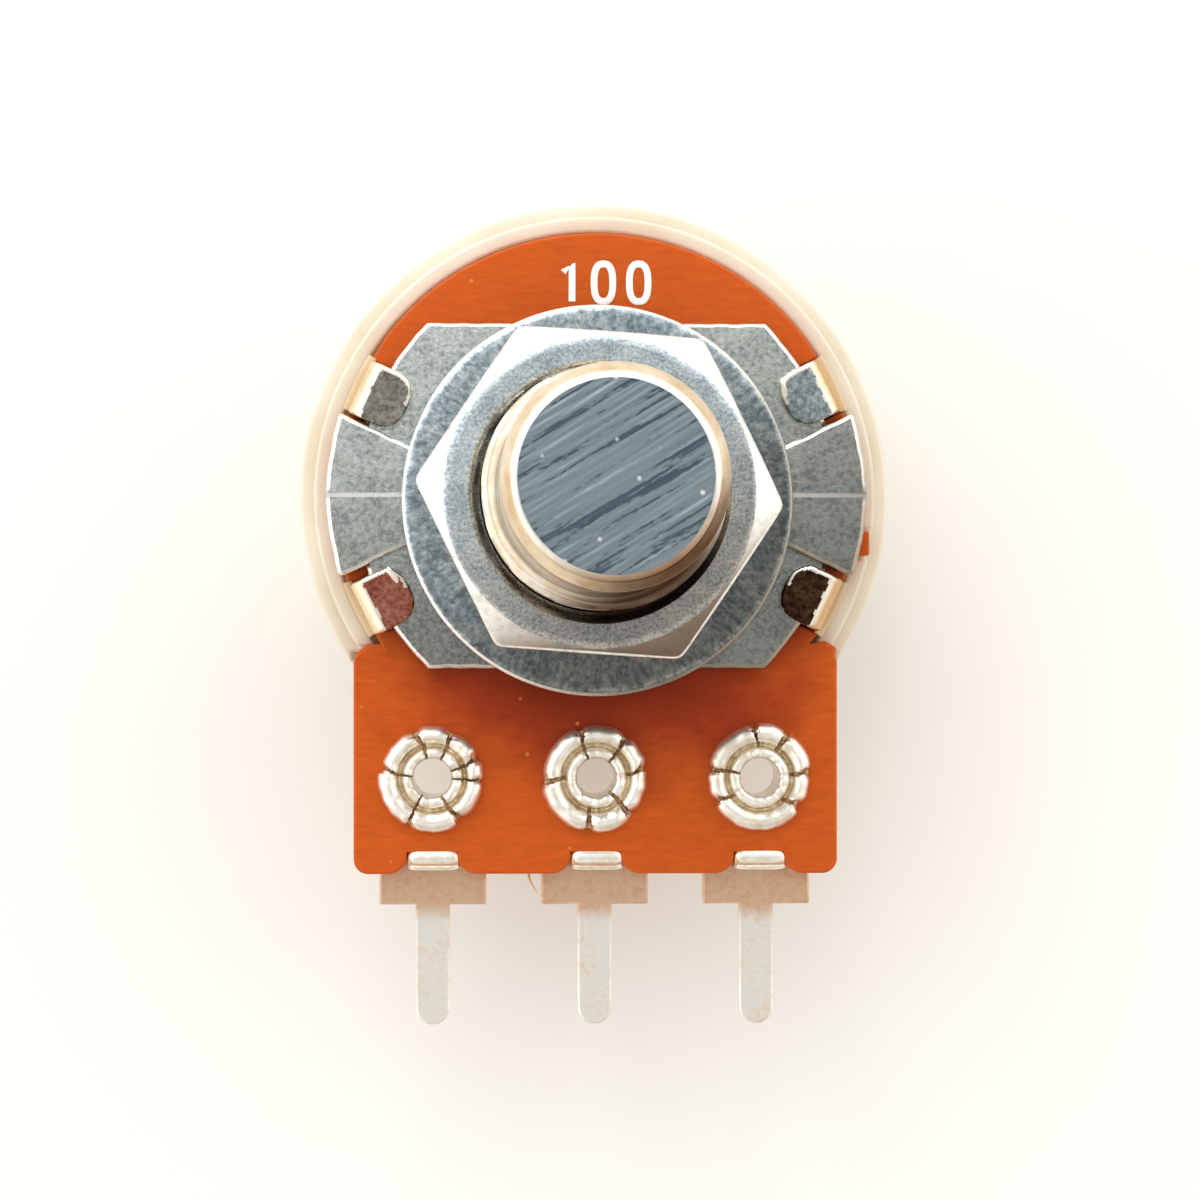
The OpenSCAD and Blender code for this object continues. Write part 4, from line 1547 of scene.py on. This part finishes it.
@dataclass
class TerminalRow:
    """Three blanked terminals and the eyelets that hold them to the board."""

    sides: tuple[str, ...] = ("left", "wiper", "right")
    row: float = 8.6
    hole: float = 0.58
    lug_width: float = 1.5
    crown: tuple[tuple[float, float], ...] = (
        (0.58, 0.05), (0.59, 0.24), (0.64, 0.36), (0.74, 0.41), (0.85, 0.37), (0.92, 0.27),
        (0.97, 0.18), (1.02, 0.18), (1.07, 0.28), (1.15, 0.41), (1.29, 0.50), (1.44, 0.46),
        (1.57, 0.33), (1.63, 0.15), (1.60, 0.02),
    )
    splits: tuple[tuple[float, ...], ...] = (
        (20.0, 64.0, 105.0, 175.0, 240.0, 298.0, 357.0),
        (5.0, 50.0, 113.0, 180.0, 257.0, 314.0),
        (4.0, 58.0, 92.0, 168.0, 214.0, 318.0),
    )
    flake: tuple[tuple[float, float], ...] = ((42.0, 0.10), (205.0, 0.0), (350.0, 0.0))
    slants: tuple[float, float] = (-0.12, 0.12)
    split_widths: tuple[float, float] = (0.025, 0.06)
    leans: tuple[float, float] = (-0.09, 0.07)
    lifts: tuple[float, float] = (-0.16, 0.1)
    cut_through: float = 0.55
    split_depth: float = 0.42
    valley_radius: float = 0.995
    valley_half: float = 0.085

    def eyelet(self, index: int) -> None:
        """Eyelet: a closed section turned round its hole, with its rolled crown split.

        The section runs up the hole, over the crown's two rolls, back along the board, down
        the barrel and round the rear head. At a split the crown sinks by a bell curve of the
        angle; between two splits the petal leans out and up by its own amount.

        Args:
            index: which terminal it holds, counted from the left.
        """
        columns = 576
        node = "eyelet_" + self.sides[index]
        board = node_box("resistor_board")[1][2]
        head = node_box(node)[0][2] - board
        crown = rounded(list(self.crown), 5)
        barrel = [
            (1.0, 0.005), (0.97, -0.1), (0.97, head + 0.27), (1.47, head + 0.25), (1.5, head + 0.2),
            (1.5, head + 0.04), (1.45, head), (self.hole + 0.06, head), (self.hole, head + 0.06),
            (self.hole, -0.4),
        ]
        section = np.vstack([crown, barrel])
        base_r, base_h = section[:, :1], section[:, 1:]
        angle = (np.arange(columns) * TURN / columns)[None, :]
        cuts = np.radians(np.array(self.splits[index]))
        draw = np.random.default_rng(40 + index)
        slant = draw.uniform(*self.slants, len(cuts))
        width = draw.uniform(*self.split_widths, len(cuts))
        lean = draw.uniform(*self.leans, len(cuts))
        inner_cut = draw.uniform(0, 1, len(cuts)) < self.cut_through
        lift = draw.uniform(*self.lifts, len(cuts))
        outward = np.clip((base_r - 1.0) / 0.5, 0, 1)
        gap, corner = np.zeros((2, len(section), columns))
        for cut, tilt, wide, through in zip(cuts, slant, width, inner_cut):
            jag = 0.02 * ripple(base_r * 9 + cut, 5, 3)
            away = (angle - cut - tilt * outward - jag + math.pi) % TURN - math.pi
            reach = np.where(base_r > 0.95, 1.0, float(through))
            gap = np.maximum(gap, reach * np.exp(-((away / wide) ** 4)))
            corner = np.maximum(corner, np.exp(-((away / (2.6 * wide)) ** 2)))
        petal = np.searchsorted(cuts, angle[0], side="right") - 1
        flake_at, flake_up = self.flake[index]
        flake = np.exp(-((((angle - math.radians(flake_at) + math.pi) % TURN - math.pi) / 0.2) ** 4))
        on_crown = np.clip((base_h - 0.03) / 0.15, 0, 1) * (base_r > self.hole)
        outer = outward * (np.arange(len(section)) < len(crown))[:, None]
        radius = base_r + outer * (lean[petal] + 0.015 * ripple(angle, 23, 60 + index))
        radius = radius - 0.3 * gap * np.clip(radius - 1.03, 0, 1) * (on_crown > 0)
        radius = radius - 0.09 * corner * outer
        radius = radius + 0.5 * flake_up * outer * flake * (radius < 1.5)
        inner_gap = gap * np.where(base_r < 1.0, 0.75, 1.0)
        wavy = 0.06 * ripple(angle, 17, 9 + index)
        grown = lift[petal] - 0.12 * corner - self.split_depth * inner_gap + wavy
        height = base_h + on_crown * (base_h * grown + flake_up * flake)
        x = (index - 1) * TERMINAL_PITCH + radius * np.cos(angle)
        y = -self.row + radius * np.sin(angle)
        points = np.stack([x, y, board + height], -1)
        edge = 0.03 * ripple(angle, 29, 80 + index)
        valley = (np.abs(base_r - self.valley_radius - edge) < self.valley_half) & (base_h > 0.01)
        # The splits and the valley between the rolls take the darker finishes: painted shade, with some
        # flux in the valley.
        slot = np.where((gap > 0.3) & (on_crown > 0), 2, valley)
        patch = Patch(points, rows_close=True, slot=slot)
        mesh = build_mesh("eyelet_rolled_" + self.sides[index], [patch])
        add_piece(mesh, [EYELET_TIN, EYELET_VALLEY, EYELET_SPLIT], "body", (node,), sharp=60)

    def lug(self, index: int) -> None:
        """Folded lug: a two-humped section across the fold, carried along the lug's width.

        The section's height dips between the humps, and its ends shrink to the middle with
        the seventh power of the distance from the middle, so that the ends are round.

        Args:
            index: which terminal it is on, counted from the left.
        """
        low, high = node_box("resistor_board")
        tail, top = low[1], high[2]
        section = rounded([
            (0.11, -0.9), (0.10, -0.2), (0.14, -0.05), (0.23, 0.0), (0.285, -0.08), (0.34, 0.02),
            (0.50, 0.05), (0.66, 0.0), (0.715, -0.14), (0.72, -0.9),
        ], 5)
        share = np.sin(np.linspace(-math.pi / 2, math.pi / 2, 25))
        half = self.lug_width / 2
        soft = (1 - np.abs(share) ** 7)[:, None]
        centre = np.array([0.41, -0.25])
        grown = centre + (section - centre)[None] * (0.72 + 0.28 * soft[..., None])
        spread = 1 + 0.07 * np.clip((-0.04 - section[:, 1]) / 0.1, 0, 1)
        x = (index - 1) * TERMINAL_PITCH + LUG_SHIFT + (half * share)[:, None] * spread
        z = top + grown[..., 1]
        y = tail + grown[..., 0]
        patch = Patch(np.stack([x, y, z], -1), capped=True)
        mesh = build_mesh("terminal_lug_" + self.sides[index], [patch])
        add_piece(mesh, [EYELET_TIN], "body", sharp=50)

    def build(self) -> None:
        """Blanked terminals with rolled-over edges, their lugs and the eyelets."""
        for index, side in enumerate(self.sides):
            node = "terminal_" + side
            mesh = soften(node, node + "_blanked", 0.07, 3)
            add_piece(mesh, [TERMINAL_TIN], "body", (node,))
            self.lug(index)
            self.eyelet(index)


@dataclass
class FrontPlate:
    """Stamped front plate with its raised centre and wings."""

    edge: float = 0.12
    score: float = 0.07
    ragged: float = 0.02
    closer: float = 0.15
    wing_start: float = 3.0
    claw_side: float = 0.8
    wing_side: float = 3.4
    lower: float = 0.12
    lower_start: float = 5.0

    def reach(self, mesh: bpy.types.Mesh) -> None:
        """Bring the wings' edges close to the claws and the lower edge a little further down.

        A point's distance across from a claw's middle line shrinks on the wing's side, less
        and less with that distance; below the bushing y grows by a share of the lower push.

        Args:
            mesh: the plate's mesh, which is changed.
        """
        places = points_of(mesh)
        x, y = places[:, :2].T.copy()
        for nominal in PUNCHED_ANGLES:
            angle = math.radians(nominal)
            side = -math.copysign(1, math.cos(angle) * math.sin(angle))
            out, across = along_claw(x, y, angle)
            across = side * across
            share = np.clip((out - self.wing_start) / 1.5, 0, 1) * (across > self.claw_side)
            share = share * np.clip((self.wing_side - across) / 1.2, 0, 1)
            x, y = from_claw(out, side * (across - self.closer * share), angle)
        y = y - self.lower * np.clip((-self.lower_start - y) / 1.5, 0, 1)
        places[:, 0], places[:, 1] = x, y
        move_points(mesh, places)

    def build(self) -> None:
        """Round the stamped edges and leave the scored lines sharp; both take a painted highlight."""
        mesh = soften(
            "front_plate", "front_plate_stamped", self.edge, 3, self.score, profile=0.34,
            depth=self.ragged,
        )
        self.reach(mesh)
        count = len(mesh.polygons)
        normal, centre = np.empty(3 * count), np.empty(3 * count)
        mesh.polygons.foreach_get("normal", normal)
        mesh.polygons.foreach_get("center", centre)
        rise = normal.reshape(-1, 3)[:, 2]
        centre = centre.reshape(-1, 3) / MM
        sunk = centre[:, 2] < node_box("front_plate")[1][2] - 0.03
        scored = (np.abs(centre[:, 1]) < self.score) & sunk
        # Tilted faces, which are the rounded edges, and the scored lines' floors take the lighter
        # finish: a painted highlight.
        bright = ((rise > 0.15) & (rise < 0.97)) | (scored & (rise > 0.5))
        mesh.polygons.foreach_set("material_index", bright.astype(np.int32))
        add_piece(mesh, [STAMPED_ZINC, STAMPED_EDGE], "body", ("front_plate",), sharp=50)


@dataclass
class Bushing:
    """Turned bushing with its fine thread, staked in the plate."""

    major: float = 3.5
    pitch: float = 0.75
    depth: float = 0.42
    bore: float = 2.54
    base: float = 4.3
    runout: float = 0.6
    start: float = 8.5
    chamfer: float = 0.3
    columns: int = 144
    rows_per_turn: int = 14

    def build(self) -> None:
        """Thread: the radius is the major one less depth times a trapezoid wave.

        The wave's phase is height over pitch less angle over a turn, so it climbs as a
        right-hand helix; it fades to nothing above the base and below the end's chamfer.
        """
        low, high = node_box("bushing")
        end = high[2]
        heights = np.arange(self.start, end - self.chamfer - 0.02, self.pitch / self.rows_per_turn)
        angle = np.arange(self.columns) * TURN / self.columns
        phase = (heights[:, None] / self.pitch - angle[None, :] / TURN) % 1
        wave = np.clip((0.5 - np.abs(phase - 0.5)) * 2 * 1.45 - 0.22, 0, 1)
        fade = np.clip((heights - self.start) / self.runout, 0, 1)[:, None]
        radius = self.major - self.depth * wave * fade
        limit = self.major - np.clip(self.chamfer - (end - heights), 0, self.chamfer)[:, None]
        radius = np.minimum(radius, limit)
        level = np.broadcast_to(heights[:, None], radius.shape)
        thread = np.stack([radius * np.cos(angle), radius * np.sin(angle), level], -1)
        below = np.array([
            (self.bore, low[2] + 0.1), (self.bore + 0.1, low[2]), (self.base - 0.08, low[2]),
            (self.base, low[2] + 0.08), (self.base, 8.18), (self.base - 0.1, 8.28),
            (self.major + 0.3, 8.29), (self.major + 0.05, 8.34), (self.major, 8.45),
        ])
        above = np.array([
            (self.major - 0.15, end - 0.17), (self.major - 0.2, end - 0.09),
            (self.major - 0.28, end - 0.03), (self.major - 0.38, end), (self.bore + 0.16, end),
            (self.bore + 0.06, end - 0.03), (self.bore, end - 0.12),
        ])
        whole = np.concatenate([revolve(below, self.columns), thread, revolve(above, self.columns)])
        mesh = build_mesh("bushing_threaded", [Patch(whole, rows_close=True)])
        add_piece(mesh, [BUSHING_BRASS], "body", ("bushing",), sharp=45)


@dataclass
class Hardware:
    """Loose washer and hexagon nut."""

    across_flats: float = 9.55
    flat_d: float = 9.1
    hole: float = 3.55
    turn: float = -4.0
    corner_power: float = 64.0
    edge: float = 0.07
    washer_hole: float = 3.75
    washer_columns: int = 256
    nut_columns: int = 360

    def washer(self) -> None:
        """Washer: a rounded section turned, with its top a little dished by stamping."""
        low, high = node_box("mounting_washer")
        centre = ((low[0] + high[0]) / 2, (low[1] + high[1]) / 2)
        outer = (high[0] - low[0]) / 2
        inner = self.washer_hole
        section = eased([
            (inner, low[2] + 0.3), (inner, high[2]), (outer - 0.35, high[2]),
            (outer - 0.16, high[2] - 0.015), (outer, high[2] - 0.11), (outer, low[2]),
            (inner, low[2]), (inner, low[2] + 0.29),
        ], self.edge, 5)
        points = revolve(section, self.washer_columns, centre)
        middle = (section[:-1] + section[1:]) / 2
        # The outer top edge takes the lighter rim finish: a painted highlight.
        rim_highlight = (middle[:, 0] > outer - 0.1) & (middle[:, 1] > high[2] - 0.2)
        slot = np.append(rim_highlight, False).astype(int)[:, None] + np.zeros((1, self.washer_columns), int)
        mesh = build_mesh("mounting_washer_stamped", [Patch(points, rows_close=True, slot=slot)])
        add_piece(mesh, [WASHER_ZINC, WASHER_RIM], "washer", ("mounting_washer",), sharp=60)

    def nut(self) -> None:
        """Hexagon nut: rows of a section whose outer radius is the hexagon's at that angle.

        The hexagon's radius is the apothem over the power mean of the cosines to its six
        flats, a high power giving nearly sharp corners. The chamfer is the cone of 30
        degrees whose edge is the flat's circle, and each row lies on cone, side or face.
        """
        low, high = node_box("mounting_nut")
        bottom, top = low[2], high[2]
        columns = self.nut_columns
        angle = np.arange(columns) * TURN / columns
        flats = np.radians(self.turn + 30 + 60 * np.arange(6))
        facing = np.maximum(np.cos(angle[None, :] - flats[:, None]), 0)
        side = self.across_flats / 2 / (facing**self.corner_power).sum(0) ** (1 / self.corner_power)
        flat = np.minimum(self.flat_d / 2, side - 0.02)
        slope = math.tan(math.radians(30))
        shoulder = top - (side - flat) * slope
        one = np.ones(columns)
        soft = self.edge
        rim = np.minimum(shoulder + 1.2 * soft * slope, top - 0.05)
        rows = [
            (self.hole * one, (bottom + 0.3) * one),
            (self.hole * one, (top - 0.4) * one),
            ((self.hole + 0.26) * one, (top - 0.06) * one),
            ((self.hole + 0.34) * one, top * one),
            (flat - 2 * soft, top * one),
            (flat - 0.6 * soft, (top - 0.006) * one),
            (flat + soft, (top - soft * slope - 0.004) * one),
            (flat + (side - flat) * 0.5, top - (side - flat) * 0.5 * slope),
            (np.maximum(side - 1.2 * soft, flat + soft), rim),
            (side - 0.35 * soft, shoulder - 0.25 * soft),
            (side, shoulder - soft),
            (side, (bottom + soft) * one),
            (side - 0.3 * soft, (bottom + 0.3 * soft) * one),
            (side - soft, bottom * one),
            ((self.hole + 0.3) * one, bottom * one),
            (self.hole * one, (bottom + 0.25) * one),
        ]
        radius = np.stack([r for r, _ in rows])
        height = np.stack([z for _, z in rows])
        points = np.stack([radius * np.cos(angle), radius * np.sin(angle), height], -1)
        first, shoulder_row, last = 6, 8, 11
        # The chamfer, and the top edges with the flanks, take lighter finishes than the face: painted
        # highlight.
        patches = [
            Patch(points[:first + 1]), Patch(points[first:shoulder_row + 1], slot=1),
            Patch(points[shoulder_row:last + 1], slot=2),
            Patch(np.concatenate([points[last:], points[:1]])),
        ]
        mesh = build_mesh("mounting_nut_chamfered", patches)
        add_piece(mesh, [NUT_ZINC, NUT_CHAMFER, BRIGHT_EDGE], "nut", ("mounting_nut",), sharp=50)

    def build(self) -> None:
        """Build both."""
        self.washer()
        self.nut()


@dataclass
class ShaftSet:
    """Shaft with its saw-cut end."""

    face: float = 2.56
    slant: float = SHAFT_END.slant
    furrow_depth: float = 0.003
    wavelengths: tuple[float, ...] = (0.16, 0.21, 0.29, 0.43, 0.71)
    journal: float = 2.5
    groove: float = 2.1
    radius: float = 3.0
    key_length: float = 0.9
    play: float = 0.02
    columns: int = 384

    def end_face(self, level: float) -> np.ndarray:
        """Sawn end: a disc of rings whose height is a sum of waves across the cut.

        With v the distance across the cut, the height is the sum of sines of v over a few
        uneven wavelengths, each with a slow drift along the cut, and it fades at the rim.

        Args:
            level: height of the mean face.

        Returns:
            Points from the rim to the middle.
        """
        rings = 110
        angle = np.arange(self.columns) * TURN / self.columns
        radius = np.linspace(self.face, 0.0, rings)[:, None]
        x, y = radius * np.cos(angle), radius * np.sin(angle)
        tilt = math.radians(self.slant)
        along = x * math.cos(tilt) + y * math.sin(tilt)
        across = -x * math.sin(tilt) + y * math.cos(tilt)
        draw = np.random.default_rng(11)
        height = np.zeros_like(x)
        for wavelength in self.wavelengths:
            drift = 0.12 * np.sin(along * draw.uniform(0.4, 1.3) + draw.uniform(0, TURN))
            height += np.sin(TURN * (across + drift) / wavelength + draw.uniform(0, TURN))
        fade = np.clip((self.face - radius) / 0.12, 0, 1)
        height *= fade * radius / self.face
        return np.stack([x, y, level - 0.03 + self.furrow_depth * height], -1)

    def build(self) -> None:
        """Journal, shoulder, 6 mm part, eased rim and the sawn end face."""
        low, high = node_box("shaft")
        top = high[2]
        shoulder = node_box("bushing")[1][2] + 0.1
        rear = low[2] + self.key_length
        below, above = (corner[2] for corner in node_box("retaining_ring"))
        below, above = below - self.play, above + self.play
        side = eased([
            (0.0, rear), (self.journal, rear), (self.journal, below), (self.groove, below),
            (self.groove, above), (self.journal, above), (self.journal, shoulder),
            (self.radius, shoulder), (self.radius, top - 0.42), (2.74, top - 0.11),
            (2.64, top - 0.06), (self.face, top - 0.03),
        ], 0.05, 5)
        points = revolve(side, self.columns)
        end = self.end_face(top)
        # The eased rim round the end takes the lighter rim finish: a painted highlight.
        rim = (side[:-1, 0] < self.face + 0.17) & (side[:-1, 1] > top - 0.12)
        slot = 2 * rim.astype(int)[:, None] + np.zeros((1, self.columns), int)
        patches = [Patch(points, slot=slot), Patch(np.concatenate([points[-1:], end[1:]]), slot=1)]
        mesh = build_mesh("shaft_turned", patches)
        add_piece(mesh, [SHAFT_SIDE, SHAFT_END, SHAFT_RIM], "shaft_assembly", ("shaft",), sharp=50)


def dress_inner_nodes() -> None:
    """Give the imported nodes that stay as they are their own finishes."""
    finishes = {
        "carbon_track": CARBON, "collector_track": SILVER, "electrode_left": SILVER,
        "electrode_right": SILVER, "retaining_ring": SPRING_STEEL, "rotor": NYLON,
        "wiper_spring": BRONZE,
    }
    for name, finish in finishes.items():
        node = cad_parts[name]
        node.data.materials.clear()
        node.data.materials.append(finish.material())
        log.info("%s dressed", name)


def main() -> None:
    logging.basicConfig(level=logging.INFO, format="%(name)s: %(message)s")
    Studio().build()
    cover, plate, hardware = RearCover(), FrontPlate(), Hardware()
    for part in (cover, BoardSet(), TerminalRow(), plate, Bushing(), hardware, ShaftSet()):
        part.build()
    dress_inner_nodes()


if __name__ == "__main__":
    main()
